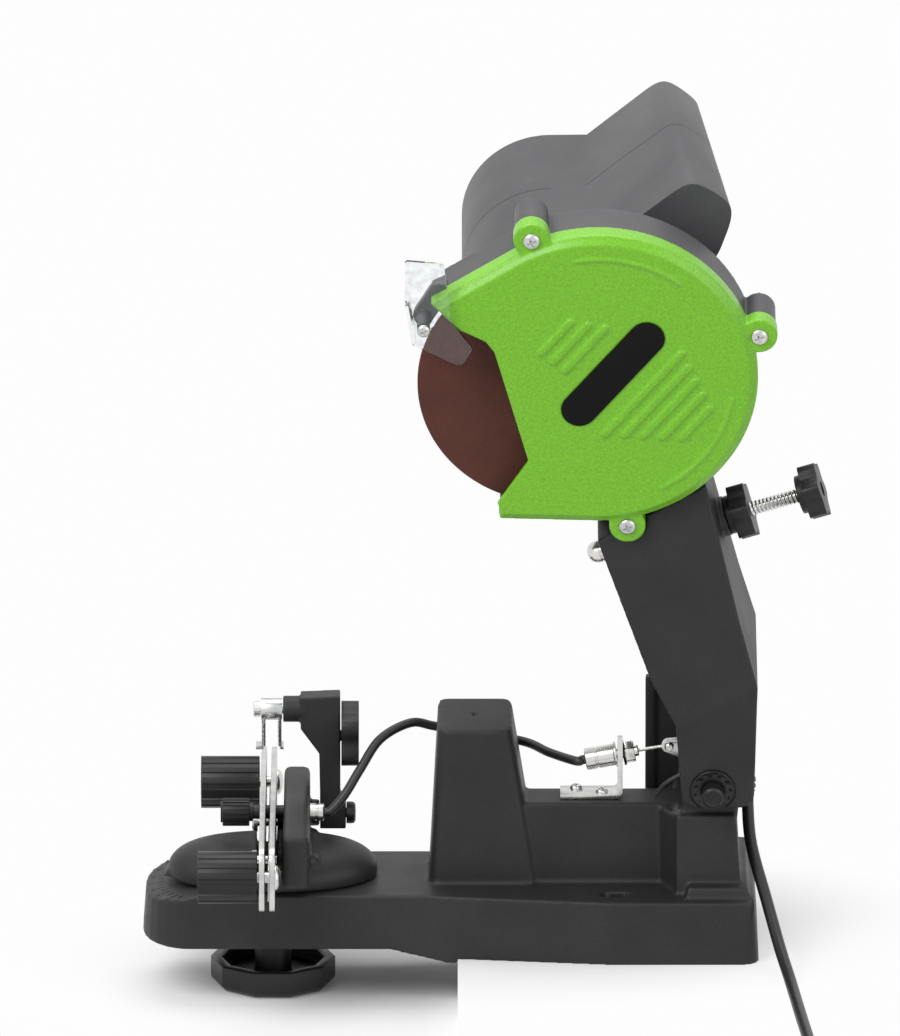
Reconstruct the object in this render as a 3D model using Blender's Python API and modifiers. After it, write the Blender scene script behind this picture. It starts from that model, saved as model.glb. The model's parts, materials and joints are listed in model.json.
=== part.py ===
"""Electric chainsaw sharpener with an automatic chain clamp, modelled at real size.

Metres, +Z up. The origin lies on the underside of the rear foot, which rests on
the bench, at the middle of that foot. -X points to the operator's end with the
vise, +Y points to the motor's rear end.
"""
import math

import bmesh
import bpy
from mathutils import Matrix, Vector

# Clearances
GAP = 0.0003
OVERRUN = 0.002
MERGE = 0.000001

# Base casting
BASE_LENGTH = 0.335
FOOT_LENGTH = 0.1636
FRONT_HALF_WIDTH = 0.0435
REAR_HALF_WIDTH = 0.0555
BASE_DRAFT = 0.003
DECK_HEIGHT = 0.0345
NOSE_DROP = 0.0075
NOSE_SLOPE_LENGTH = 0.031
REAR_CORNER = 0.008
NOSE_FLAT_HALF = 0.0095
NOSE_CORNER_LENGTH = 0.026
FLARE_LENGTH = 0.097
FRONT_LIFT = 0.0045
LIP_DEPTH = 0.0025
LIP_LENGTH = 0.006
LIP_RAMP_LENGTH = 0.03
BASE_WALL = 0.0035
RIB_THICKNESS = 0.004
POCKET_LENGTH = 0.036
CORE_POCKET_HALF = 0.0135
BENCH_SLOT_X = 0.004
BENCH_SLOT_Y = 0.037
BENCH_SLOT_LENGTH = 0.017
BENCH_SLOT_WIDTH = 0.0085

# Tower, spine and column of the base
ARM_TILT = math.radians(10.5)
TOWER_X = -0.0723
TOWER_TOP_LENGTH = 0.040
TOWER_TOP_DEPTH = 0.040
TOWER_FOOT_LENGTH = 0.060
TOWER_FOOT_DEPTH = 0.046
TOWER_TOP_Z = 0.1236
TOWER_TOP_Y = 0.0044
TOWER_WALL = 0.005
TOWER_CORNER = 0.006
DIMPLE_RADIUS = 0.0022
DIMPLE_DEPTH = 0.0015
SPINE_TOP_Z = 0.0789
SPINE_TOP_HALF = 0.0143
SPINE_FOOT_HALF = 0.0175
PIVOT_X = 0.0562
PIVOT_Z = 0.1037
COLUMN_FRONT = 0.0364
COLUMN_REAR = 0.0690
COLUMN_HALF = 0.036
COLUMN_DRAFT = 0.003
COLUMN_WALL = 0.006
REAR_WALL = 0.0024
COLUMN_FLOOR_Z = 0.079
CHEEK_RADIUS = 0.0155
CHEEK_ROOT = 0.034
PEDESTAL_TOP_Z = 0.041
PEDESTAL_MARGIN = 0.009
WEB_FRONT = 0.0205
WEB_INNER_Y = 0.0475
WEB_THICKNESS = 0.0045
WEB_TOP_Z = 0.132
WEB_RIM_WIDTH = 0.0054
WEB_RIM_DEPTH = 0.0015

# Arm, in the tilted plane: X from the pivot, W up the plane, V along the axis
ARM_LUG_HALF = 0.044
ARM_LUG_WALL = 0.005
ARM_WALL = 0.0045
ARM_TOP_NEAR = -0.013
ARM_TOP_FAR = 0.033
ARM_BEND_ANGLE = math.radians(28.6)
ARM_BEND_S = 0.0429
ARM_TOP_S = 0.153
ARM_LUG_DROP = 0.011
ARM_LUG_FRONT = 0.020
ARM_LUG_BACK = 0.024
ARM_LUG_TAPER = 0.003
ARM_LUG_CORNER = 0.007
ARM_LUG_BACK_TOP = 0.062
ARM_BACK_MID = (0.0146, 0.095)
ARM_BACK_TOP = (-0.0043, 0.170)
ARM_FRONT_TOP = (-0.0627, 0.136)
ARM_FRONT_MID = (-0.034, 0.063)
TONGUE_THICKNESS = 0.012

# Pivot
PIVOT_RADIUS = 0.006
PIVOT_END_PROUD = 0.008
PIVOT_BOSS_RADIUS = 0.013
WASHER_RADIUS = 0.0105
WASHER_THICKNESS = 0.0015
SPRING_WIRE = 0.0026
SPRING_TURNS = 5
SPRING_PITCH = 0.0040
SPRING_INNER_RADIUS = 0.0068

# Grinding head, X and W from the pivot
AXIS_X = -0.0870
AXIS_W = 0.2305
DISC_RADIUS = 0.0725
DISC_THICKNESS = 0.0032
DISC_V = -0.010
DISC_BORE_RADIUS = 0.0111
GUARD_X = -0.0627
GUARD_W = 0.2385
COVER_RADIUS = 0.086
COVER_FRONT_V = -0.0250
COVER_BACK_V = -0.0110
COVER_WALL = 0.003
COVER_CHAMFER = 0.003
GUARD_INSET = 0.0008
GUARD_BACK_V = 0.0125
GUARD_WALL = 0.003
MOUTH_TOP = (-0.1524, 0.2837)
MOUTH_BOTTOM = (-0.1151, 0.1539)
MOUTH_EDGE = ((-0.1368, 0.2690), (-0.1230, 0.2620), (-0.1184, 0.2556),
              (-0.1000, 0.1898), (-0.1168, 0.1642))
LOBE_POINTS = ((-0.0984, 0.3215), (0.0238, 0.2642), (-0.0465, 0.1496))
LOBE_RADIUS = 0.0098
COVER_SCREW_RADIUS = 0.0025
COVER_SCREW_LENGTH = 0.022
LABEL_START = (-0.0726, 0.2215)
LABEL_END = (-0.0366, 0.2642)
LABEL_RADIUS = 0.0096
LABEL_THICKNESS = 0.0012
LABEL_RECESS = 0.0008
MOUTH_TOP_SHARE = 0.35
MOUTH_BOTTOM_SHARE = 0.5
FACE_SLOPE_SHARE = 1.5
RIB_HEIGHT = 0.0012
RIB_RADIUS = 0.0019
ARC_HEIGHT = 0.001
ARC_WIDTH = 0.002

# Motor
MOTOR_RADIUS = 0.0486
MOTOR_END_V = 0.190
MOTOR_SEAM_V = 0.125
MOTOR_WALL = 0.003
ROUND_START = math.radians(92)
ROUND_END = math.radians(374)
SLAB_NEAR_V = 0.035
SLAB_FAR = ((-0.0400, 0.2475), (-0.0150, 0.2760), (-0.0066, 0.2930), (-0.0076, 0.3000),
            (-0.0220, 0.3116), (-0.0297, 0.3116), (-0.0676, 0.2793))
SLAB_NEAR = ((-0.0385, 0.2470), (0.0010, 0.2807), (0.0097, 0.3060), (0.0086, 0.3160),
             (-0.0075, 0.3270), (-0.0160, 0.3270), (-0.0676, 0.2850))
STATOR_RADIUS = 0.030
STATOR_BORE_RADIUS = 0.0175
STATOR_LENGTH = 0.040
STATOR_V = 0.085
ROTOR_RADIUS = 0.0168
SHAFT_RADIUS = 0.004
SHAFT_END_V = 0.176
BEARING_RADIUS = 0.011
BEARING_WIDTH = 0.007
FRONT_BEARING_V = 0.026
REAR_BEARING_V = 0.163
COMMUTATOR_RADIUS = 0.0115
COMMUTATOR_V = 0.130
COMMUTATOR_LENGTH = 0.014
FAN_V = 0.048
FAN_RADIUS = 0.027
FAN_THICKNESS = 0.009
FAN_BLADES = 8
FAN_HUB_SHARE = 0.45
FLANGE_RADIUS = 0.018
FLANGE_THICKNESS = 0.003
FLANGE_HUB_RADIUS = 0.0108
ARBOR_NUT_RADIUS = 0.0075
ARBOR_NUT_HEIGHT = 0.0052
ROCKER_LENGTH = 0.030
ROCKER_WIDTH = 0.014
ROCKER_DEPTH = 0.012
ROCKER_PROUD = 0.003
ROCKER_CENTRE = (-0.0330, 0.2850)
ROCKER_BODY_SHARE = 0.6
ROCKER_FOOT_SHARE = 0.5

# Depth screw
DEPTH_TIP = (-0.0627, 0.1181)
DEPTH_V = 0.008
DEPTH_ANGLE = math.radians(17.6)
DEPTH_ROD_RADIUS = 0.004
DEPTH_CAP_RADIUS = 0.006
DEPTH_CAP_LENGTH = 0.010
DEPTH_LENGTH = 0.1255
DEPTH_JAM_S = 0.0808
STAR_RADIUS = 0.016
STAR_LOBES = 6
STAR_SHARE = 0.22
STAR_THICKNESS = 0.013
DEPTH_BOSS_RADIUS = 0.011

# Swivelling vise, X measured from its swivel axis
VISE_X = -0.182
TURNTABLE_HALF_LENGTH = 0.0568
TURNTABLE_HALF_DEPTH = 0.037
TURNTABLE_HEIGHT = 0.019
TURNTABLE_ROUNDING = 0.028
TURNTABLE_STRAIGHT = 0.004
DOME_STEPS = 5
SADDLE_SHARE = 1.35
POINTER_REACH = 0.060
POINTER_WIDTH = 0.017
POINTER_HEIGHT = 0.010
SWIVEL_BOLT_RADIUS = 0.005
SWIVEL_STUD_TOP_Z = 0.0405
SWIVEL_BOSS_RADIUS = 0.013
CLAMP_KNOB_RADIUS = 0.034
CLAMP_KNOB_SIDES = 10
CLAMP_KNOB_TOP_Z = -0.0124
CLAMP_KNOB_BOTTOM_Z = -0.0270
CLAMP_KNOB_WALL = 0.003
CLAMP_HUB_RADIUS = 0.010
SWIVEL_STUD_BOTTOM_Z = -0.0235
BEAM_FRONT = 0.0059
BEAM_THICKNESS = 0.0141
BEAM_HALF = 0.0650
BEAM_BOTTOM_Z = 0.0457
BEAM_TOP_Z = 0.0757
BEAM_CHAMFER = 0.003
SADDLE_HALF = 0.0270
RAIL_HALF = 0.098
RAIL_BOTTOM_Z = 0.042
RAIL_TOP_Z = 0.078
RAIL_THICKNESS = 0.003
FIXED_RAIL_FRONT = -0.0012
RAIL_SLOT = 0.0026
STRIP_THICKNESS = 0.0008
STRIP_TOP_Z = 0.060
STRIP_HALF = 0.074
RAIL_CORNER = 0.009
WINDOW_LENGTH = 0.030
WINDOW_HEIGHT = 0.009
WINDOW_Z = 0.0685
WINDOW_END = 0.046
GUIDE_Y = 0.034
GUIDE_Z = 0.053
GUIDE_RADIUS = 0.0025
GUIDE_COLLAR_RADIUS = 0.0055
GUIDE_FRONT = -0.0115
GUIDE_DEPTH_SHARE = 0.7
RAIL_BOLT_Y = 0.085
RAIL_BOLT_Z = 0.0595
RAIL_BOLT_RADIUS = 0.003
RAIL_BOLT_HEAD_RADIUS = 0.007
RAIL_BOLT_HEAD_HEIGHT = 0.0032
RIDGED_KNOB_RADIUS = 0.0143
RIDGED_KNOB_LENGTH = 0.032
RIDGED_KNOB_RIBS = 14
RIDGE_DEPTH = 0.0007
RIDGED_KNOB_START = -0.0078
BOLT_REACH_SHARE = 0.7
ADJUSTER_Y = 0.003
ADJUSTER_Z = 0.0685
ADJUSTER_RADIUS = 0.0076
ADJUSTER_LENGTH = 0.0146
ADJUSTER_START = -0.0127
ADJUSTER_NECK_RADIUS = 0.0038
FERRULE_RADIUS = 0.0048
FERRULE_LENGTH = 0.0075
HOUSING_RADIUS = 0.0025
FERRULE_EXIT_SHARE = 1.1
STOP_Y = 0.046
STOP_PIVOT_Z = 0.0545
STOP_PIVOT_BOSS_RADIUS = 0.0073
STOP_PIVOT_FRONT = 0.0254
STOP_PIVOT_BACK = 0.0395
STOP_BOLT_RADIUS = 0.0028
STOP_BOLT_HEAD_RADIUS = 0.006
STOP_BOLT_HEAD_HEIGHT = 0.005
STOP_TUBE_Z = 0.1137
STOP_TUBE_RADIUS = 0.0072
STOP_TUBE_FRONT = 0.0054
STOP_ARM_DEPTH = 0.0135
STOP_ARM_TOP_Z = 0.1228
STOP_ARM_BACK = 0.0365
STOP_ARM_SHOULDER = 0.0149
STOP_ARM_WAIST = 0.0250
STOP_ARM_WAIST_Z = 0.0900
STOP_ARM_UNDER_Z = 0.1040
PAWL_HUB_RADIUS = 0.0060
PAWL_HUB_FRONT = -0.0065
PAWL_HUB_BACK = 0.0048
PAWL_LEG_THICKNESS = 0.0020
PAWL_LEG_WIDTH = 0.0085
PAWL_FOOT_Z = 0.0935
PAWL_FOOT_LENGTH = 0.0032
PAWL_PIN_RADIUS = 0.0028
PAWL_PIN_FRONT = -0.0108
PIN_HEAD_SHARE = 0.7
LOBED_KNOB_Z = 0.0984
LOBED_KNOB_RADIUS = 0.019
LOBED_KNOB_THICKNESS = 0.0095
LOBED_KNOB_LOBES = 5
LOBED_STUD_RADIUS = 0.003

# Clamp cable
CABLE_Z = 0.1026
CABLE_ANGLE = math.radians(10.2)
BARREL_START = -0.0123
BARREL_END = 0.0033
BARREL_RADIUS = 0.0060
BARREL_SEAT_SHARE = 0.45
BRACKET_X = 0.0050
BRACKET_THICKNESS = 0.0028
BRACKET_HALF_WIDTH = 0.0080
BRACKET_TOP_Z = 0.1105
BRACKET_FOOT_END = -0.0260
BRACKET_SCREW_XS = (-0.0175, -0.0035)
BRACKET_SCREW_Y = 0.0035
BRACKET_THREAD_RADIUS = 0.0018
LOCK_NUT_RADIUS = 0.0060
LOCK_NUT_LENGTH = 0.0050
LOCK_NUT_TIP = 0.0035
LOCK_NUT_SPACE = 0.0014
WIRE_RADIUS = 0.0009
LEVER_TIP = (-0.0232, 0.0040)
LEVER_THICKNESS = 0.0030
LEVER_HUB_RADIUS = 0.0095
LEVER_TIP_RADIUS = 0.0040
NIPPLE_RADIUS = 0.0022
HOUSING_POINTS = (
    (-0.0317, 0.0150, 0.0985), (-0.0460, 0.0290, 0.1005), (-0.0723, 0.0330, 0.1035),
    (-0.0944, 0.0330, 0.1080), (-0.1074, 0.0300, 0.1107), (-0.1236, 0.0220, 0.1040),
    (-0.1344, 0.0120, 0.0902), (-0.1426, 0.0060, 0.0779), (-0.1500, 0.0030, 0.0697),
)

# Eye shield, in the tilted plane
SHIELD_OUTLINE = ((-0.1662, 0.3124), (-0.1662, 0.2850), (-0.1622, 0.2624),
                  (-0.1373, 0.2497), (-0.1346, 0.2515), (-0.1297, 0.2600),
                  (-0.1410, 0.2750), (-0.1454, 0.3106))
SHIELD_V = -0.0285
SHIELD_THICKNESS = 0.0018
SHIELD_FLANGE_DEPTH = 0.022
SHIELD_SCREW = (-0.1562, 0.2709)
SHIELD_SCREW_RADIUS = 0.0016
SHIELD_LUG_RADIUS = 0.0055
SHIELD_POST_RADIUS = 0.0036
SHIELD_LUG_ROOT = (-0.1475, 0.2860)

# Mains cord, from the column to its coil and plug
CORD_RADIUS = 0.00325
CORD_ROUTE = (
    (0.0600, 0.0150, 0.0890), (0.0700, 0.0141, 0.0886), (0.0735, 0.0132, 0.0872),
    (0.0762, 0.0105, 0.0835), (0.0758, 0.0030, 0.0730), (0.0777, -0.0140, 0.0550),
    (0.0858, -0.0420, 0.0320), (0.0927, -0.0700, 0.0140), (0.0973, -0.0950, 0.0060),
    (0.1002, -0.1220, 0.0036), (0.1033, -0.1600, 0.0035), (0.1062, -0.1950, 0.0035),
    (0.1075, -0.2250, 0.0035), (0.1080, -0.2600, 0.0035),
)
COIL_MIDDLE_RADIUS = 0.037
COIL_PITCH = 0.0072
COIL_TURNS = 2.875
COIL_LAYER = 0.0072
COIL_DIP = 0.0025
COIL_STEPS = 24
RELIEF_LENGTH = 0.008
RELIEF_RADIUS = 0.0056
RELIEF_TIP_RADIUS = 0.0043
PLUG_LENGTH = 0.034
PLUG_RADIUS = 0.0175
PLUG_THICKNESS = 0.020
PLUG_PIN_RADIUS = 0.0024
PLUG_PIN_LENGTH = 0.019
PLUG_PIN_HALF_SPACING = 0.0095
PLUG_NECK_SHARE = 0.35
TAIL_DIAMETERS = 8

BLACK = ((0.028, 0.028, 0.030), 0.55, 0.0)
DARK_GREY = ((0.085, 0.085, 0.090), 0.50, 0.0)
LIME = ((0.22, 0.62, 0.02), 0.40, 0.0)
ZINC = ((0.62, 0.62, 0.60), 0.35, 1.0)
STEEL = ((0.55, 0.55, 0.56), 0.30, 1.0)
BLACK_STEEL = ((0.03, 0.03, 0.032), 0.40, 0.6)
ABRASIVE = ((0.12, 0.035, 0.018), 0.90, 0.0)
CLEAR = ((0.80, 0.84, 0.86), 0.10, 0.0)
COPPER = ((0.70, 0.34, 0.20), 0.35, 1.0)
LABEL = ((0.010, 0.010, 0.011), 0.30, 0.0)
RUBBER = ((0.016, 0.016, 0.017), 0.65, 0.0)

X_AXIS = Vector((1, 0, 0))
Y_AXIS = Vector((0, 1, 0))
Z_AXIS = Vector((0, 0, 1))


def clear_scene():
    """Start from an empty file."""
    for obj in list(bpy.data.objects):
        bpy.data.objects.remove(obj, do_unlink=True)


def new_collection(name):
    collection = bpy.data.collections.new(name)
    bpy.context.scene.collection.children.link(collection)
    return collection


clear_scene()
PARTS = new_collection("chainsaw_sharpener")
CUTTERS = new_collection("cutters")


def material(name, look):
    colour, roughness, metallic = look
    mat = bpy.data.materials.new(name)
    mat.use_nodes = True
    shader = mat.node_tree.nodes["Principled BSDF"]
    shader.inputs["Base Color"].default_value = (*colour, 1.0)
    shader.inputs["Roughness"].default_value = roughness
    shader.inputs["Metallic"].default_value = metallic
    mat.diffuse_color = (*colour, 1.0)
    return mat


def pivot_empty(name, at, tilt=0.0):
    empty = bpy.data.objects.new(name, None)
    PARTS.objects.link(empty)
    empty.location = at
    empty.rotation_euler.x = tilt
    return empty


def piece(name, mesh, look, parent=None, at=(0, 0, 0)):
    """One named sub-part with its own material."""
    obj = bpy.data.objects.new(name, mesh)
    PARTS.objects.link(obj)
    obj.data.materials.append(material(name, look))
    obj.parent = parent
    obj.location = at
    return obj


def tool(name, mesh, parent=None, at=(0, 0, 0)):
    """A helper solid that another piece is cut or joined with."""
    obj = bpy.data.objects.new(name, mesh)
    CUTTERS.objects.link(obj)
    obj.parent = parent
    obj.location = at
    obj.hide_render = True
    obj.display_type = 'WIRE'
    return obj


def combine(obj, other, operation):
    modifier = obj.modifiers.new(other.name, 'BOOLEAN')
    modifier.operation = operation
    modifier.object = other
    modifier.solver = 'EXACT'
    return obj


def cut(obj, other):
    return combine(obj, other, 'DIFFERENCE')


def join(obj, other):
    return combine(obj, other, 'UNION')


def mesh_from(bm, name):
    bmesh.ops.recalc_face_normals(bm, faces=bm.faces)
    mesh = bpy.data.meshes.new(name)
    bm.to_mesh(mesh)
    bm.free()
    return mesh


def smooth(mesh, angle=math.radians(35)):
    mesh.shade_smooth()
    mesh.set_sharp_from_angle(angle=angle)
    return mesh


def block(low, high, bevel=0.0, segments=2, name="block"):
    """A box between two corners, with rounded edges where bevel is given."""
    bm = bmesh.new()
    bmesh.ops.create_cube(bm, size=1.0)
    size = Vector(high) - Vector(low)
    middle = (Vector(high) + Vector(low)) / 2
    bmesh.ops.scale(bm, vec=size, verts=bm.verts)
    bmesh.ops.translate(bm, vec=middle, verts=bm.verts)
    if bevel:
        bmesh.ops.bevel(bm, geom=list(bm.edges), offset=bevel, segments=segments,
                        affect='EDGES', profile=0.5)
    return mesh_from(bm, name)


def frustum(low, high, corner, segments=3, name="frustum"):
    """A drafted block: low and high are (x0, x1, y0, y1, z at y0, z at y1)."""
    bm = bmesh.new()
    bmesh.ops.create_cube(bm, size=1.0)
    for vert in bm.verts:
        x0, x1, y0, y1, z0, z1 = high if vert.co.z > 0 else low
        near = vert.co.y < 0
        vert.co = (x0 if vert.co.x < 0 else x1, y0 if near else y1, z0 if near else z1)
    if corner:
        upright = [e for e in bm.edges
                   if abs((e.verts[0].co - e.verts[1].co).normalized().z) > 0.7]
        bmesh.ops.bevel(bm, geom=upright, offset=corner, segments=segments,
                        affect='EDGES', profile=0.5)
    return mesh_from(bm, name)


def turn_to(mesh, axis, start):
    """Turns a mesh made along +Z to an axis and moves it to its start point."""
    rotation = Z_AXIS.rotation_difference(Vector(axis)).to_matrix().to_4x4()
    mesh.transform(Matrix.Translation(Vector(start)) @ rotation)
    return mesh


def rod(radius, length, axis=Z_AXIS, start=(0, 0, 0), sides=24, end_radius=None,
        name="rod"):
    """A cylinder or cone from its start point along an axis."""
    bm = bmesh.new()
    tip = radius if end_radius is None else end_radius
    bmesh.ops.create_cone(bm, cap_ends=True, segments=sides, radius1=radius,
                          radius2=tip, depth=length)
    bmesh.ops.translate(bm, vec=(0, 0, length / 2), verts=bm.verts)
    return smooth(turn_to(mesh_from(bm, name), axis, start))


def ring(outer, inner, length, axis=Z_AXIS, start=(0, 0, 0), sides=20, name="ring"):
    """A tube with a bore, from its start point along an axis."""
    return turned(((inner, 0), (outer, 0), (outer, length), (inner, length)), axis,
                  start, sides, closed=True, name=name)


def hex_nut(radius, bore, length, axis, start, name="nut"):
    """A hexagon with a round bore, from its start point along an axis."""
    loops = [circle((0, 0), radius, 6), circle((0, 0), bore, 16)]
    return turn_to(outline(loops, 0.0, length, name), axis, start)


def turned(profile, axis=Z_AXIS, start=(0, 0, 0), sides=20, closed=False,
           name="turned"):
    """A turned solid: (radius, height) points swept round with a Screw modifier."""
    mesh = bpy.data.meshes.new(name)
    count = len(profile)
    edges = [(i, i + 1) for i in range(count - 1)]
    if closed:
        edges.append((count - 1, 0))
    mesh.from_pydata([(r, 0, h) for r, h in profile], edges, [])
    obj = bpy.data.objects.new(name, mesh)
    CUTTERS.objects.link(obj)
    screw = obj.modifiers.new("turn", 'SCREW')
    screw.axis = 'Z'
    screw.steps = sides
    screw.render_steps = sides
    screw.use_merge_vertices = True
    screw.merge_threshold = MERGE
    return smooth(turn_to(evaluated(obj, name), axis, start))


def evaluated(obj, name):
    """The finished mesh of a helper object, welded, with its faces out."""
    bpy.context.view_layer.update()
    graph = bpy.context.evaluated_depsgraph_get()
    mesh = bpy.data.meshes.new_from_object(obj.evaluated_get(graph))
    mesh.transform(obj.matrix_world)
    bpy.data.objects.remove(obj, do_unlink=True)
    bm = bmesh.new()
    bm.from_mesh(mesh)
    bmesh.ops.remove_doubles(bm, verts=bm.verts, dist=MERGE)
    bpy.data.meshes.remove(mesh)
    return mesh_from(bm, name)


def outline(loops, low, high, name="outline"):
    """A flat outline with its holes, from low to high along Z."""
    curve = bpy.data.curves.new(name, 'CURVE')
    curve.dimensions = '2D'
    curve.fill_mode = 'BOTH'
    curve.extrude = (high - low) / 2
    for loop in loops:
        spline = curve.splines.new('POLY')
        spline.points.add(len(loop) - 1)
        for point, (x, y) in zip(spline.points, loop):
            point.co = (x, y, 0, 1)
        spline.use_cyclic_u = True
    obj = bpy.data.objects.new(name, curve)
    CUTTERS.objects.link(obj)
    mesh = evaluated(obj, name)
    mesh.transform(Matrix.Translation((0, 0, (high + low) / 2)))
    bpy.data.curves.remove(curve)
    return mesh


def plane_xw(loops, v_near, v_far, name="plate"):
    """An outline in the arm's plane (X and W), from v_near to v_far."""
    mesh = outline(loops, -v_far, -v_near, name)
    mesh.transform(Matrix.Rotation(math.pi / 2, 4, 'X'))
    return mesh


def plane_yz(loops, x_low, x_high, name="plate"):
    """An outline in Y and Z, from x_low to x_high."""
    mesh = outline(loops, x_low, x_high, name)
    mesh.transform(Matrix(((0, 0, 1, 0), (1, 0, 0, 0), (0, 1, 0, 0), (0, 0, 0, 1))))
    return mesh


def tube(points, radius, resolution=2, name="tube"):
    """A wire or cord along points, as a curve with a round bevel and closed ends."""
    curve = bpy.data.curves.new(name, 'CURVE')
    curve.dimensions = '3D'
    curve.bevel_depth = radius
    curve.bevel_resolution = resolution
    curve.use_fill_caps = True
    curve.render_resolution_u = 0
    spline = curve.splines.new('POLY')
    spline.points.add(len(points) - 1)
    for point, place in zip(spline.points, points):
        point.co = (*place, 1)
    obj = bpy.data.objects.new(name, curve)
    CUTTERS.objects.link(obj)
    mesh = evaluated(obj, name)
    bpy.data.curves.remove(curve)
    return smooth(mesh)


def arc(centre, radius, start, end, steps):
    """Points along an arc; angles in radians."""
    return [(centre[0] + radius * math.cos(start + (end - start) * i / steps),
             centre[1] + radius * math.sin(start + (end - start) * i / steps))
            for i in range(steps + 1)]


def circle(centre, radius, steps=24):
    return arc(centre, radius, 0, 2 * math.pi, steps)[:-1]


def capsule(start, end, radius, steps=7):
    """A slot outline with round ends."""
    angle = math.atan2(end[1] - start[1], end[0] - start[0])
    quarter = math.pi / 2
    return (arc(end, radius, angle - quarter, angle + quarter, steps)
            + arc(start, radius, angle + quarter, angle + 3 * quarter, steps))


def inset(points, distance):
    """The outline moved inwards by a distance (points run counter-clockwise)."""
    moved = []
    count = len(points)
    for i, point in enumerate(points):
        here = Vector(point)
        before = (here - Vector(points[i - 1])).normalized()
        after = (Vector(points[(i + 1) % count]) - here).normalized()
        normal_before = Vector((-before.y, before.x))
        normal_after = Vector((-after.y, after.x))
        middle = (normal_before + normal_after).normalized()
        shift = distance / max(middle.dot(normal_before), 0.4)
        moved.append(tuple(here + middle * shift))
    return moved


def smooth_path(points, steps):
    """A Catmull-Rom curve through points, with equal steps per stretch."""
    places = [Vector(p) for p in points]
    ends = [2 * places[0] - places[1]] + places + [2 * places[-1] - places[-2]]
    path = []
    for i in range(1, len(ends) - 2):
        a, b, c, d = ends[i - 1:i + 3]
        for k in range(steps):
            t = k / steps
            path.append(0.5 * (2 * b + (c - a) * t + (2 * a - 5 * b + 4 * c - d) * t ** 2
                               + (3 * b - a - 3 * c + d) * t ** 3))
    path.append(places[-1])
    return path


def lobed(radius, lobes, share, steps=8):
    """A star knob's outline: round lobes with shallow waists between them."""
    total = lobes * steps
    return [(radius * (1 - share * (0.5 - 0.5 * math.cos(lobes * a))) * math.cos(a),
             radius * (1 - share * (0.5 - 0.5 * math.cos(lobes * a))) * math.sin(a))
            for a in (2 * math.pi * i / total for i in range(total))]


def loft(low, high, z_low, z_high, name="loft"):
    """A solid between two unlike outlines with as many points each."""
    bm = bmesh.new()
    bottom = [bm.verts.new((x, y, z_low)) for x, y in low]
    top = [bm.verts.new((x, y, z_high)) for x, y in high]
    bm.faces.new(bottom)
    bm.faces.new(top)
    for i in range(len(low)):
        j = (i + 1) % len(low)
        bm.faces.new((bottom[i], bottom[j], top[j], top[i]))
    return mesh_from(bm, name)


def merged(meshes, name="merged"):
    """Several separate solids in one mesh."""
    bm = bmesh.new()
    for mesh in meshes:
        bm.from_mesh(mesh)
        bpy.data.meshes.remove(mesh)
    return mesh_from(bm, name)


def mirrored_y(low, high):
    """The two boxes that mirror each other over the middle plane."""
    return (block(low, high),
            block((low[0], -high[1], low[2]), (high[0], -low[1], high[2])))


FOOT_REAR = FOOT_LENGTH / 2
NOSE_X = FOOT_REAR - BASE_LENGTH
LIP_REAR = -FOOT_LENGTH / 2
LIP_FRONT = LIP_REAR - LIP_LENGTH


def base_plan(wall=0.0):
    """The base's outline seen from above, counter-clockwise."""
    front = FRONT_HALF_WIDTH
    rear = REAR_HALF_WIDTH
    quarter = math.pi / 2
    near_corner = arc((FOOT_REAR - REAR_CORNER, REAR_CORNER - rear), REAR_CORNER,
                      -quarter, 0, 3)
    far_corner = [(x, -y) for x, y in reversed(near_corner)]
    sweep = [quarter * i / 6 for i in range(7)]
    nose_far = [(NOSE_X + NOSE_CORNER_LENGTH * (1 - math.sin(a)),
                 NOSE_FLAT_HALF + (front - NOSE_FLAT_HALF) * math.cos(a)) for a in sweep]
    nose_near = [(x, -y) for x, y in reversed(nose_far)]
    points = (near_corner + far_corner + [(0.0, rear), (-FLARE_LENGTH, front)]
              + nose_far + nose_near + [(-FLARE_LENGTH, -front), (0.0, -rear)])
    return inset(points, wall) if wall else points


def base_profile():
    """The base seen from the side: raised front, lip over the bench edge, deck."""
    beyond = NOSE_X - OVERRUN
    return [(beyond, FRONT_LIFT), (LIP_FRONT - LIP_RAMP_LENGTH, FRONT_LIFT),
            (LIP_FRONT, -LIP_DEPTH), (LIP_REAR, -LIP_DEPTH), (LIP_REAR, 0.0),
            (FOOT_REAR + OVERRUN, 0.0), (FOOT_REAR + OVERRUN, DECK_HEIGHT),
            (NOSE_X + NOSE_SLOPE_LENGTH, DECK_HEIGHT),
            (beyond, DECK_HEIGHT - NOSE_DROP)]


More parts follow.
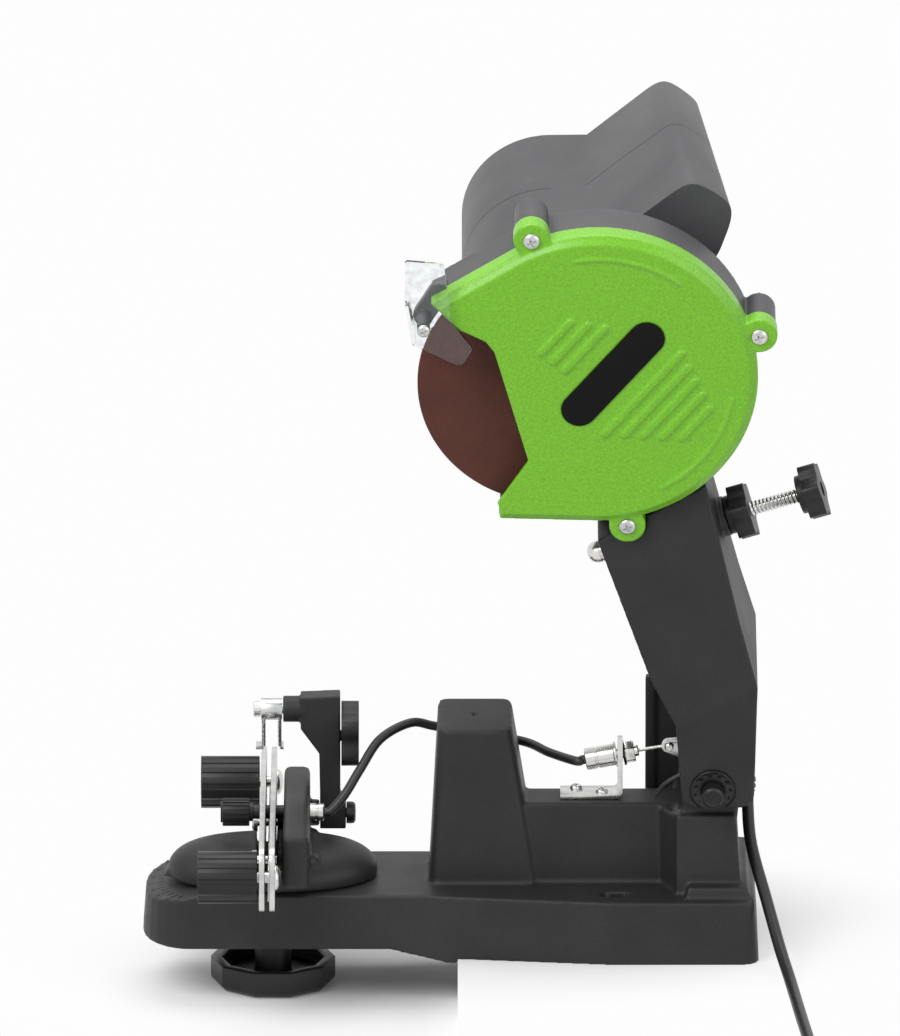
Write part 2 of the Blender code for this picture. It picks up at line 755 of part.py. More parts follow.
def base_pockets():
    """Pockets under the deck, between long and cross ribs."""
    step = POCKET_LENGTH + RIB_THICKNESS
    bottom = -LIP_DEPTH - OVERRUN
    roof = DECK_HEIGHT - BASE_WALL
    side_start = CORE_POCKET_HALF + RIB_THICKNESS
    rear_side = REAR_HALF_WIDTH - BASE_DRAFT - BASE_WALL
    front_side = FRONT_HALF_WIDTH - BASE_DRAFT - BASE_WALL
    pockets = []
    for k in (-2, -1, 0, 1):
        x0 = RIB_THICKNESS / 2 + k * step
        x1 = x0 + POCKET_LENGTH
        side = rear_side if k >= 0 else front_side
        pockets.append(block((x0, -CORE_POCKET_HALF, bottom),
                             (x1, CORE_POCKET_HALF, roof)))
        pockets.extend(mirrored_y((x0, side_start, bottom), (x1, side, roof)))
    for k in range(4):
        x1 = LIP_FRONT - RIB_THICKNESS - k * step
        x0 = x1 - POCKET_LENGTH
        top = roof
        side_x0 = x0
        if k == 3:
            top = roof - NOSE_DROP
            side_x0 = x1 - POCKET_LENGTH / 2
        pockets.append(block((x0, -CORE_POCKET_HALF, bottom),
                             (x1, CORE_POCKET_HALF, top)))
        pockets.extend(mirrored_y((side_x0, side_start, bottom), (x1, front_side, top)))
    return merged(pockets, "pockets")


def bench_slots(margin, low, high):
    """The two slots for bench bolts, or the bosses round them."""
    half = (BENCH_SLOT_LENGTH - BENCH_SLOT_WIDTH) / 2
    radius = BENCH_SLOT_WIDTH / 2 + margin
    slots = []
    for side in (-1, 1):
        y = side * BENCH_SLOT_Y
        slots.append(outline([capsule((BENCH_SLOT_X - half, y), (BENCH_SLOT_X + half, y),
                                      radius, 5)], low, high))
    return merged(slots, "bench_slots")


def tower_block(wall=0.0, low_z=DECK_HEIGHT - OVERRUN):
    """The tower that the depth screw lands on; its top lies in the arm's tilt."""
    top = (TOWER_TOP_LENGTH / 2 - wall, TOWER_TOP_DEPTH / 2 * math.cos(ARM_TILT) - wall)
    foot = (TOWER_FOOT_LENGTH / 2 - wall, TOWER_FOOT_DEPTH / 2 - wall)
    rise = TOWER_TOP_DEPTH / 2 * math.sin(ARM_TILT)
    z = TOWER_TOP_Z - wall
    shift = (TOWER_FOOT_LENGTH - TOWER_TOP_LENGTH) / 4
    return frustum(
        (TOWER_X + shift - foot[0], TOWER_X + shift + foot[0],
         TOWER_TOP_Y / 2 - foot[1], TOWER_TOP_Y / 2 + foot[1], low_z, low_z),
        (TOWER_X - top[0], TOWER_X + top[0], TOWER_TOP_Y - top[1], TOWER_TOP_Y + top[1],
         z - rise, z + rise), TOWER_CORNER - wall / 2, name="tower")


def spine_block(wall=0.0, low_z=DECK_HEIGHT - OVERRUN):
    top = SPINE_TOP_HALF - wall
    foot = SPINE_FOOT_HALF - wall
    z = SPINE_TOP_Z - wall
    return frustum((TOWER_X + wall, COLUMN_FRONT + OVERRUN, -foot, foot, low_z, low_z),
                   (TOWER_X + wall, COLUMN_FRONT + OVERRUN, -top, top, z, z), 0,
                   name="spine")


def column_block(wall=0.0, low_z=DECK_HEIGHT - OVERRUN):
    top = COLUMN_HALF - wall
    foot = top + COLUMN_DRAFT
    z = COLUMN_FLOOR_Z - wall
    return frustum((COLUMN_FRONT + wall, COLUMN_REAR + COLUMN_DRAFT - wall, -foot, foot,
                    low_z, low_z),
                   (COLUMN_FRONT + wall, COLUMN_REAR - wall, -top, top, z, z), 0,
                   name="column")


def column_flare():
    """The widening from the spine to the column."""
    plan = [(COLUMN_FRONT - (COLUMN_HALF - SPINE_FOOT_HALF) / 2, -SPINE_TOP_HALF),
            (COLUMN_FRONT + OVERRUN, -COLUMN_HALF), (COLUMN_FRONT + OVERRUN, COLUMN_HALF),
            (COLUMN_FRONT - (COLUMN_HALF - SPINE_FOOT_HALF) / 2, SPINE_TOP_HALF)]
    return outline([plan], DECK_HEIGHT - OVERRUN, SPINE_TOP_Z - OVERRUN, "column_flare")


def pedestal_block():
    margin = PEDESTAL_MARGIN
    low = (COLUMN_FRONT + margin / 2, FOOT_REAR - BASE_DRAFT * 1.5,
           -COLUMN_HALF - COLUMN_DRAFT - margin, COLUMN_HALF + COLUMN_DRAFT + margin)
    high = (low[0] + margin / 4, low[1] - margin / 4, low[2] + margin / 4,
            low[3] - margin / 4)
    return frustum((*low, DECK_HEIGHT - OVERRUN, DECK_HEIGHT - OVERRUN),
                   (*high, PEDESTAL_TOP_Z, PEDESTAL_TOP_Z), 0, name="pedestal")


def cheek(side):
    """One ear of the column, in the arm's tilt, that carries the pivot shaft."""
    ear = arc((0, 0), CHEEK_RADIUS, -0.2, math.pi + 0.2, 10)
    points = [(-CHEEK_RADIUS - COLUMN_DRAFT, -CHEEK_ROOT),
              (CHEEK_RADIUS - COLUMN_DRAFT, -CHEEK_ROOT)] + ear
    inner = COLUMN_HALF - COLUMN_WALL
    low, high = sorted((side * inner, side * COLUMN_HALF))
    return plane_xw([points], low, high, "cheek")


def pivot_pad(side):
    """The round pad between an ear and the arm's lug."""
    start = side * (COLUMN_HALF - OVERRUN)
    length = ARM_LUG_HALF - ARM_LUG_WALL - GAP - COLUMN_HALF + OVERRUN
    return rod(PIVOT_BOSS_RADIUS, length, Y_AXIS * side, (0, start, 0), 20,
               name="pivot_pad")


def rear_wall():
    """The wall behind the ears, which the cord comes out through."""
    x = CHEEK_RADIUS - COLUMN_DRAFT
    inner = COLUMN_HALF - COLUMN_WALL + OVERRUN
    return block((x - REAR_WALL, -inner, -CHEEK_ROOT), (x, inner, 0.0),
                 name="rear_wall")


def guard_web():
    """The tall web beside the far lug, with a rim on its front edge."""
    y = WEB_INNER_Y
    low = DECK_HEIGHT - OVERRUN
    web = block((WEB_FRONT, y, low), (COLUMN_REAR, y + WEB_THICKNESS, WEB_TOP_Z),
                name="guard_web")
    return web


def web_rim():
    y = WEB_INNER_Y
    return block((WEB_FRONT, y - WEB_RIM_DEPTH, DECK_HEIGHT - OVERRUN),
                 (WEB_FRONT + WEB_RIM_WIDTH, y + WEB_THICKNESS / 2, WEB_TOP_Z),
                 name="web_rim")


def web_gusset():
    return block((COLUMN_REAR - COLUMN_WALL, COLUMN_HALF - OVERRUN,
                  DECK_HEIGHT - OVERRUN),
                 (COLUMN_REAR - GAP, WEB_INNER_Y + OVERRUN, COLUMN_FLOOR_Z),
                 name="web_gusset")


def core_ribs():
    """Ribs across the hollow column and the hollow tower."""
    half = RIB_THICKNESS / 2
    low = DECK_HEIGHT - BASE_WALL + GAP
    wall = TOWER_WALL / 2
    middle = TOWER_X + (TOWER_FOOT_LENGTH - TOWER_TOP_LENGTH) / 4
    column_rib = block((COLUMN_FRONT + OVERRUN, -half, low),
                       (COLUMN_REAR - OVERRUN, half, COLUMN_FLOOR_Z - OVERRUN))
    tower_rib = block((middle - half, TOWER_TOP_Y - TOWER_TOP_DEPTH / 2 + wall, low),
                      (middle + half, TOWER_TOP_Y + TOWER_TOP_DEPTH / 2 - wall,
                       TOWER_TOP_Z - TOWER_WALL))
    return merged([column_rib, tower_rib], "core_ribs")


def base_casting(arm_frame):
    low = base_plan()
    high = base_plan(BASE_DRAFT)
    base = piece("base_casting", loft(low, high, -LIP_DEPTH - OVERRUN,
                                      DECK_HEIGHT + OVERRUN, "base"), BLACK)
    wide = REAR_HALF_WIDTH + OVERRUN
    combine(base, tool("side_profile", plane_xw([base_profile()], -wide, wide)),
            'INTERSECT')
    cut(base, tool("pockets", base_pockets()))
    roof = DECK_HEIGHT - BASE_WALL - OVERRUN
    join(base, tool("pedestal", pedestal_block()))
    join(base, tool("spine", spine_block()))
    join(base, tool("tower", tower_block()))
    join(base, tool("column", column_block()))
    join(base, tool("column_flare", column_flare()))
    join(base, tool("guard_web", guard_web()))
    join(base, tool("web_rim", web_rim()))
    join(base, tool("web_gusset", web_gusset()))
    for side in (-1, 1):
        join(base, tool("cheek", cheek(side), arm_frame))
        join(base, tool("pivot_pad", pivot_pad(side), arm_frame))
    join(base, tool("rear_wall", rear_wall(), arm_frame))
    cut(base, tool("tower_core", tower_block(TOWER_WALL, roof)))
    core = SPINE_TOP_HALF - BASE_WALL
    cut(base, tool("spine_core", block(
        (TOWER_X + TOWER_FOOT_LENGTH / 2, -core, roof),
        (COLUMN_FRONT - COLUMN_WALL, core, SPINE_TOP_Z - TOWER_WALL))))
    cut(base, tool("column_core", column_block(COLUMN_WALL, roof)))
    join(base, tool("core_ribs", core_ribs()))
    boss_low = FRONT_LIFT
    join(base, tool("swivel_boss", rod(SWIVEL_BOSS_RADIUS, DECK_HEIGHT - boss_low - GAP,
                                       start=(VISE_X, 0, boss_low))))
    cut(base, tool("swivel_hole", rod(
        SWIVEL_BOLT_RADIUS + GAP, DECK_HEIGHT + 2 * OVERRUN,
        start=(VISE_X, 0, boss_low - OVERRUN))))
    join(base, tool("slot_bosses", bench_slots(BASE_WALL, 0.0, DECK_HEIGHT - GAP)))
    cut(base, tool("slots", bench_slots(0.0, -OVERRUN, DECK_HEIGHT + OVERRUN)))
    reach = ARM_LUG_HALF
    cut(base, tool("pivot_hole", rod(PIVOT_RADIUS + GAP, 2 * reach, Y_AXIS,
                                     (0, -reach, 0), 20), arm_frame))
    normal = Vector((0, -math.sin(ARM_TILT), math.cos(ARM_TILT)))
    top = Vector((TOWER_X, TOWER_TOP_Y, TOWER_TOP_Z))
    cut(base, tool("dimple", rod(GAP, DIMPLE_DEPTH + OVERRUN, normal,
                                 top - normal * DIMPLE_DEPTH, 12,
                                 end_radius=DIMPLE_RADIUS * 2)))
    way = cord_way()
    cut(base, tool("cord_hole", rod(RELIEF_RADIUS + GAP, RELIEF_LENGTH * 2, way,
                                    Vector(CORD_ROUTE[0]), 16)))
    for x in BRACKET_SCREW_XS:
        cut(base, tool("bracket_hole", rod(
            BRACKET_THREAD_RADIUS + GAP, TOWER_WALL + OVERRUN,
            start=(x, bracket_screw_y(x), SPINE_TOP_Z - TOWER_WALL - GAP), sides=12)))
    return base


def cord_way():
    """The direction in which the cord leaves the column."""
    return (Vector(CORD_ROUTE[1]) - Vector(CORD_ROUTE[0])).normalized()


def bracket_screw_y(x):
    """The far screw is the left one, as the photographed bracket has them."""
    return BRACKET_SCREW_Y if x == min(BRACKET_SCREW_XS) else -BRACKET_SCREW_Y


def arm_outline():
    """The arm seen along its pivot axis, counter-clockwise."""
    drop = ARM_LUG_DROP
    corner = ARM_LUG_CORNER
    front = -(ARM_LUG_FRONT - ARM_LUG_TAPER)
    back = ARM_LUG_BACK - ARM_LUG_TAPER / 2
    quarter = math.pi / 2
    return (arc((front + corner, corner - drop), corner, -2 * quarter, -quarter, 4)
            + arc((back - corner, corner - drop), corner, -quarter, 0, 4)
            + [(ARM_LUG_BACK, ARM_LUG_BACK_TOP), ARM_BACK_MID, ARM_BACK_TOP,
               ARM_FRONT_TOP, ARM_FRONT_MID,
               (-ARM_LUG_FRONT, ARM_LUG_BACK_TOP
                - (ARM_LUG_BACK + ARM_LUG_FRONT) * math.tan(ARM_BEND_ANGLE))])


def arm_taper(wall=0.0, side_wall=0.0):
    """The arm seen from its edge: wide lugs that draw in towards the top."""
    lug = ARM_LUG_HALF - side_wall
    low = -ARM_LUG_BACK_TOP
    reach = 2 * ARM_LUG_BACK_TOP + ARM_LUG_DROP
    points = [(-lug, low), (lug, low), (lug, ARM_BEND_S),
              (ARM_TOP_FAR - wall, ARM_TOP_S - wall),
              (ARM_TOP_NEAR + wall, ARM_TOP_S - wall), (-lug, ARM_BEND_S)]
    mesh = outline([points], -reach, reach, "arm_taper")
    s, c = math.sin(ARM_BEND_ANGLE), math.cos(ARM_BEND_ANGLE)
    mesh.transform(Matrix(((0, -s, c, 0), (1, 0, 0, 0), (0, c, s, 0), (0, 0, 0, 1))))
    return mesh


def lug_space():
    """The open space between the lugs, in front of the arm's back wall."""
    back = ARM_LUG_BACK - ARM_WALL - OVERRUN
    inner = ARM_LUG_HALF - ARM_LUG_WALL - GAP
    reach = ARM_LUG_BACK_TOP + OVERRUN
    rise = (back + ARM_LUG_FRONT) * math.tan(ARM_BEND_ANGLE)
    return plane_xw([[(-reach, -reach), (back, -reach), (back, ARM_LUG_BACK_TOP - ARM_WALL),
                      (-ARM_LUG_FRONT, ARM_LUG_BACK_TOP - ARM_WALL - rise),
                      (-reach, ARM_LUG_BACK_TOP - rise)]], -inner, inner, "lug_space")


def tongue_outline():
    """The plate at the arm's top that the guard and the motor bolt to."""
    front = AXIS_X - ARM_WALL
    lift = 2 * GAP
    return [(ARM_FRONT_TOP[0], ARM_FRONT_TOP[1] + lift),
            (ARM_BACK_TOP[0], ARM_BACK_TOP[1] + lift),
            (ARM_BACK_TOP[0] - ARM_WALL, AXIS_W - MOTOR_RADIUS + ARM_WALL),
            (front + ARM_WALL, AXIS_W - MOTOR_RADIUS - GAP * 2),
            (front, AXIS_W - MOTOR_RADIUS - GAP * 2 - ARM_WALL)]


def depth_way():
    return Vector((math.cos(DEPTH_ANGLE), 0, math.sin(DEPTH_ANGLE)))


def depth_point(s):
    """A point of the depth screw's axis, s from its tip."""
    return Vector((DEPTH_TIP[0], DEPTH_V, DEPTH_TIP[1])) + depth_way() * s


def arm_body(frame):
    arm = piece("arm", plane_xw([arm_outline()], -ARM_LUG_HALF - OVERRUN,
                                ARM_LUG_HALF + OVERRUN), BLACK, frame)
    combine(arm, tool("arm_taper", arm_taper(), frame), 'INTERSECT')
    hollow = tool("arm_hollow", plane_xw([inset(arm_outline(), ARM_WALL)],
                                         -ARM_LUG_HALF, ARM_LUG_HALF), frame)
    combine(hollow, tool("arm_inner_taper", arm_taper(ARM_WALL, ARM_LUG_WALL), frame),
            'INTERSECT')
    cut(arm, hollow)
    cut(arm, tool("lug_space", lug_space(), frame))
    boss_start = DEPTH_JAM_S - STAR_THICKNESS / 2 - GAP
    boss_length = ARM_WALL * 3
    join(arm, tool("depth_boss", rod(
        DEPTH_BOSS_RADIUS, boss_length, -depth_way(), depth_point(boss_start), 20),
        frame))
    cut(arm, tool("depth_hole", rod(
        DEPTH_ROD_RADIUS + GAP, DEPTH_LENGTH * 2, depth_way(),
        depth_point(-DEPTH_CAP_LENGTH * 2), 16), frame))
    cut(arm, tool("cap_way", rod(
        DEPTH_CAP_RADIUS + GAP * 2, DEPTH_LENGTH / 2, depth_way(),
        depth_point(-DEPTH_CAP_LENGTH), 16), frame))
    cut(arm, tool("shaft_hole", rod(PIVOT_RADIUS + GAP, 3 * ARM_LUG_HALF, Y_AXIS,
                                    (0, -ARM_LUG_HALF * 3 / 2, 0), 20), frame))
    margin = GAP * 2
    low, high = COVER_FRONT_V - OVERRUN, GUARD_BACK_V + GAP
    cut(arm, tool("guard_space", plane_xw([inset(guard_outline(), -margin)], low, high),
                  frame))
    cut(arm, tool("lobe_space", lobes(LOBE_RADIUS + margin, low, high), frame))
    return arm


def arm_bracket(frame):
    """The tongue behind the guard, between the arm's top and the motor."""
    low = GUARD_BACK_V + GAP
    high = GUARD_BACK_V + GAP + TONGUE_THICKNESS
    return piece("head_bracket", plane_xw([tongue_outline()], low, high), BLACK, frame)


def pivot_shaft(frame):
    reach = ARM_LUG_HALF + WASHER_THICKNESS + 2 * GAP
    start = -reach - PIVOT_END_PROUD
    shaft = piece("pivot_shaft", rod(PIVOT_RADIUS, reach - start, Y_AXIS, (0, start, 0),
                                     20), BLACK_STEEL, frame)
    return shaft


def pivot_washer(frame):
    """The plain washer between the near lug and the shaft's end."""
    return piece("pivot_washer", ring(WASHER_RADIUS, PIVOT_RADIUS + GAP, WASHER_THICKNESS,
                                      Y_AXIS, (0, -ARM_LUG_HALF - GAP - WASHER_THICKNESS,
                                               0), 20), BLACK_STEEL, frame)


def spring_path():
    """The torsion spring: front leg on the column, coils, rear leg in the arm."""
    mean = SPRING_INNER_RADIUS + SPRING_WIRE / 2
    steps = 10
    coils = []
    start_v = -(COLUMN_HALF - COLUMN_WALL) + SPRING_WIRE
    first = math.radians(130)
    total = SPRING_TURNS * steps
    for i in range(total + 1):
        angle = first + 2 * math.pi * i / steps
        coils.append((mean * math.cos(angle), start_v + SPRING_PITCH * i / steps,
                      mean * math.sin(angle)))
    reach = CHEEK_RADIUS * 2
    front_v = start_v - SPRING_PITCH / 4
    leg = [(-reach, front_v, -CHEEK_RADIUS * 0.75), (-reach * 0.75, front_v, -SPRING_WIRE)]
    end = coils[-1]
    rear = [(end[0] + ARM_LUG_BACK * 0.55, end[1] + SPRING_PITCH / 3,
             end[2] + ARM_LUG_BACK * 0.5),
            (ARM_LUG_BACK - ARM_WALL - SPRING_WIRE / 2 - GAP, end[1] + SPRING_PITCH / 2,
             end[2] + ARM_LUG_BACK * 1.3)]
    return leg + coils + rear


def torsion_spring(frame):
    return piece("torsion_spring", tube(spring_path(), SPRING_WIRE / 2, 1), BLACK_STEEL,
                 frame)


def cable_lever(frame):
    """The lever on the pivot shaft that pays the clamp cable in and out."""
    tip = LEVER_TIP
    angle = math.atan2(tip[1], tip[0])
    quarter = math.pi / 2
    points = (arc((0, 0), LEVER_HUB_RADIUS, angle + quarter, angle + 3 * quarter, 10)
              + arc(tip, LEVER_TIP_RADIUS, angle - quarter, angle + quarter, 6))
    half = LEVER_THICKNESS / 2
    holes = [circle((0, 0), PIVOT_RADIUS + GAP, 20), circle(tip, NIPPLE_RADIUS + GAP, 12)]
    lever = piece("cable_lever", plane_xw([points] + holes, -half, half), ZINC, frame)
    cut(lever, tool("wire_slot", rod(WIRE_RADIUS + GAP, LEVER_TIP_RADIUS * 2, -wire_way(),
                                     lever_tip_point(), 12)))
    return lever


def cable_nipple(frame):
    half = LEVER_THICKNESS
    return piece("cable_nipple", rod(NIPPLE_RADIUS, 2 * half, Y_AXIS,
                                     (LEVER_TIP[0], -half, LEVER_TIP[1]), 12), STEEL,
                 frame)


def tangent_angle(point, side):
    """Where a straight edge from a mouth corner touches the round of the guard."""
    dx, dw = point[0] - GUARD_X, point[1] - GUARD_W
    away = math.hypot(dx, dw)
    return math.atan2(dw, dx) + side * math.acos(COVER_RADIUS / away)


def guard_outline():
    """Round guard with its open mouth at the lower left, counter-clockwise."""
    start = tangent_angle(MOUTH_BOTTOM, 1) + 2 * math.pi
    end = tangent_angle(MOUTH_TOP, -1) + 2 * math.pi
    if start > end:
        start -= 2 * math.pi
    rim = arc((GUARD_X, GUARD_W), COVER_RADIUS, start, end, 32)
    return rim + [MOUTH_TOP] + list(MOUTH_EDGE) + [MOUTH_BOTTOM]


def face_outline():
    """The cover's face, drawn in from the rim but not from the mouth's edge."""
    share = 1 - COVER_CHAMFER * FACE_SLOPE_SHARE / COVER_RADIUS
    centre = Vector((GUARD_X, GUARD_W))
    return [p if p in MOUTH_EDGE else tuple(centre.lerp(Vector(p), share))
            for p in guard_outline()]


def lobes(radius, v_near, v_far):
    return merged([rod(radius, v_far - v_near, Y_AXIS, (x, v_near, w), 16)
                   for x, w in LOBE_POINTS], "lobes")


def cavity_outline(wall):
    """The guard's inside; its mouth side stays open to let the disc through."""
    return inset(guard_outline(), wall)


def mouth_slot(v_near, v_far):
    """The open side that the disc stands out of."""
    top = Vector(MOUTH_TOP).lerp(Vector(MOUTH_EDGE[0]), MOUTH_TOP_SHARE)
    bottom = Vector(MOUTH_BOTTOM).lerp(Vector(MOUTH_EDGE[-1]), MOUTH_BOTTOM_SHARE)
    outside = AXIS_X - DISC_RADIUS - OVERRUN * 2
    depth = COVER_WALL * 2
    points = [tuple(top), (outside, top.y), (outside, bottom.y), tuple(bottom),
              (bottom.x + depth, bottom.y), (MOUTH_EDGE[3][0] + depth, MOUTH_EDGE[3][1]),
              (MOUTH_EDGE[2][0] + depth, MOUTH_EDGE[2][1]),
              (top.x + depth * 1.5, top.y + depth * 1.5)]
    return plane_xw([points], v_near, v_far, "mouth_slot")


def green_cover(frame):
    """Front cover: a shallow shell with a chamfered rim, lobes and raised ribs."""
    shape = guard_outline()
    rim_v = COVER_FRONT_V + COVER_CHAMFER
    cover = piece("green_cover", plane_xw([shape], rim_v, COVER_BACK_V), LIME, frame)
    face = loft_xw(face_outline(), shape, COVER_FRONT_V, rim_v + GAP)
    join(cover, tool("cover_face", face, frame))
    join(cover, tool("cover_lobes", lobes(LOBE_RADIUS, rim_v, COVER_BACK_V - GAP), frame))
    cut(cover, tool("cover_hollow", plane_xw(
        [cavity_outline(COVER_WALL)], COVER_FRONT_V + COVER_WALL,
        COVER_BACK_V + OVERRUN), frame))
    for wall_part in lobe_sleeves(rim_v + OVERRUN, COVER_BACK_V - GAP):
        join(cover, tool("lobe_sleeve", wall_part, frame))
    cut(cover, tool("cover_mouth", mouth_slot(COVER_FRONT_V + COVER_WALL + GAP,
                                              COVER_BACK_V + OVERRUN), frame))
    join(cover, tool("ribs", cover_ribs(), frame))
    join(cover, tool("arcs", cover_arcs(), frame))
    cut(cover, tool("label_recess", plane_xw(
        [capsule(LABEL_START, LABEL_END, LABEL_RADIUS + GAP)],
        COVER_FRONT_V - OVERRUN, COVER_FRONT_V + LABEL_RECESS), frame))
    for x, w in LOBE_POINTS:
        cut(cover, tool("screw_way", rod(COVER_SCREW_RADIUS + GAP, COVER_CHAMFER * 9,
                                         Y_AXIS, (x, COVER_FRONT_V - OVERRUN, w), 12),
                        frame))
    return cover


def loft_xw(near, far, v_near, v_far, name="loft"):
    """A solid between two outlines in the arm's plane, with as many points each."""
    bm = bmesh.new()
    front = [bm.verts.new((x, v_near, w)) for x, w in near]
    back = [bm.verts.new((x, v_far, w)) for x, w in far]
    bm.faces.new(front)
    bm.faces.new(back)
    for i in range(len(near)):
        j = (i + 1) % len(near)
        bm.faces.new((front[i], front[j], back[j], back[i]))
    return mesh_from(bm, name)


def lobe_sleeves(v_near, v_far):
    """Screw posts inside the shells, at the three lobes."""
    return [rod(LOBE_RADIUS * 0.62, v_far - v_near, Y_AXIS, (x, v_near, w), 10)
            for x, w in LOBE_POINTS]


def along_label(distance, offset):
    """A point on the cover face, measured along and across the label."""
    start, end = Vector(LABEL_START), Vector(LABEL_END)
    way = (end - start).normalized()
    across = Vector((way.y, -way.x))
    middle = (start + end) / 2
    return tuple(middle + way * distance + across * offset)


def cover_ribs():
    """Raised ribs in line with the label: three above it and five below."""
    low, high = COVER_FRONT_V - RIB_HEIGHT, COVER_FRONT_V + COVER_WALL / 2
    step = LABEL_RADIUS * 0.86
    ribs = []
    for k in range(3):
        offset = -LABEL_RADIUS * 2.2 - step * k
        half = LABEL_RADIUS * (1.75 - 0.25 * k)
        middle = LABEL_RADIUS * (0.2 - 0.25 * k)
        ribs.append((middle - half, middle + half, offset))
    for k in range(5):
        offset = LABEL_RADIUS * 2.1 + step * k
        half = LABEL_RADIUS * (3.3 - 0.52 * k)
        middle = LABEL_RADIUS * (0.15 + 0.12 * k)
        ribs.append((middle - half, middle + half, offset))
    return merged([plane_xw([capsule(along_label(a, o), along_label(b, o), RIB_RADIUS, 3)],
                            low, high) for a, b, o in ribs], "ribs")


def arc_band(radius, start, end, steps=9):
    """A thin raised band that follows the rim of the cover."""
    centre = (GUARD_X, GUARD_W)
    outer = arc(centre, radius, start, end, steps)
    inner = arc(centre, radius - ARC_WIDTH, end, start, steps)
    return outer + inner


def cover_arcs():
    low, high = COVER_FRONT_V - ARC_HEIGHT, COVER_FRONT_V + COVER_WALL / 2
    outer = COVER_RADIUS * 0.86
    spans = ((outer, math.radians(-62), math.radians(-8)),
             (outer, math.radians(52), math.radians(100)))
    return merged([plane_xw([arc_band(r, a, b)], low, high) for r, a, b in spans],
                  "arcs")


def guard_housing(frame):
    """Dark shell behind the disc, which carries the cover and the motor."""
    shape = inset(guard_outline(), GUARD_INSET)
    low = COVER_BACK_V + GAP
    guard = piece("guard_housing", plane_xw([shape], low, GUARD_BACK_V), DARK_GREY, frame)
    join(guard, tool("guard_lobes", lobes(LOBE_RADIUS - GUARD_INSET, low + GAP,
                                          GUARD_BACK_V - GAP), frame))
    cut(guard, tool("guard_hollow", plane_xw(
        [cavity_outline(GUARD_WALL + GUARD_INSET)], low - OVERRUN,
        GUARD_BACK_V - GUARD_WALL), frame))
    for wall_part in lobe_sleeves(low, GUARD_BACK_V - OVERRUN):
        join(guard, tool("guard_post", wall_part, frame))
    cut(guard, tool("guard_mouth", mouth_slot(low - OVERRUN, GUARD_BACK_V - GUARD_WALL + GAP),
                    frame))
    join(guard, tool("shield_ear", shield_lug(), frame))
    join(guard, tool("shield_post", shield_post(), frame))
    x, w = SHIELD_SCREW
    cut(guard, tool("post_bore", rod(SHIELD_SCREW_RADIUS, COVER_BACK_V - SHIELD_V, Y_AXIS,
                                     (x, SHIELD_V, w), 12), frame))
    cut(guard, tool("guard_bore", rod(SHAFT_RADIUS + OVERRUN, GUARD_WALL * 4, Y_AXIS,
                                      (AXIS_X, GUARD_BACK_V - GUARD_WALL * 2, AXIS_W)),
                    frame))
    for x, w in LOBE_POINTS:
        cut(guard, tool("post_hole", rod(
            COVER_SCREW_RADIUS + GAP, COVER_SCREW_LENGTH, Y_AXIS,
            (x, low - OVERRUN, w), 12), frame))
    return guard


def label_plate(frame):
    low = COVER_FRONT_V + LABEL_RECESS - GAP - LABEL_THICKNESS
    return piece("label_plate", plane_xw([capsule(LABEL_START, LABEL_END, LABEL_RADIUS)],
                                         low, low + LABEL_THICKNESS), LABEL, frame)


def grinding_disc(frame):
    half = DISC_THICKNESS / 2
    return piece("grinding_disc", ring(DISC_RADIUS, DISC_BORE_RADIUS, DISC_THICKNESS,
                                       Y_AXIS, (0, DISC_V - half, 0), 48),
                 ABRASIVE, frame)


def inner_flange(frame):
    """Flange behind the disc, with the hub that centres the disc's bore."""
    seat = DISC_V + DISC_THICKNESS / 2 + GAP
    hub = seat - DISC_THICKNESS + GAP
    profile = ((SHAFT_RADIUS + GAP, seat + FLANGE_THICKNESS),
               (SHAFT_RADIUS + GAP, hub), (FLANGE_HUB_RADIUS, hub),
               (FLANGE_HUB_RADIUS, seat), (FLANGE_RADIUS, seat),
               (FLANGE_RADIUS, seat + FLANGE_THICKNESS))
    return piece("inner_flange", turned(profile, Y_AXIS, (0, 0, 0), 24,
                                        closed=True), STEEL, frame)


def outer_flange(frame):
    back = DISC_V - DISC_THICKNESS / 2 - GAP
    return piece("outer_flange", ring(FLANGE_RADIUS, SHAFT_RADIUS + GAP,
                                      FLANGE_THICKNESS, Y_AXIS,
                                      (0, back - FLANGE_THICKNESS, 0), 24),
                 STEEL, frame)


def arbor_nut(frame):
    back = DISC_V - DISC_THICKNESS / 2 - 2 * GAP - FLANGE_THICKNESS
    return piece("arbor_nut", hex_nut(ARBOR_NUT_RADIUS, SHAFT_RADIUS + GAP,
                                      ARBOR_NUT_HEIGHT, Y_AXIS,
                                      (0, back - ARBOR_NUT_HEIGHT, 0)), STEEL, frame)


def motor_section(v):
    """The motor's outline at v: a round with the handle slab rising at the right."""
    share = (MOTOR_END_V - v) / (MOTOR_END_V - SLAB_NEAR_V)
    slab = [tuple(Vector(far).lerp(Vector(near), share))
            for far, near in zip(SLAB_FAR, SLAB_NEAR)]
    return arc((AXIS_X, AXIS_W), MOTOR_RADIUS, ROUND_START, ROUND_END, 28) + slab


def housing_solid(v_low, v_high):
    return loft_xw(motor_section(v_low), motor_section(v_high), v_low, v_high, "housing")


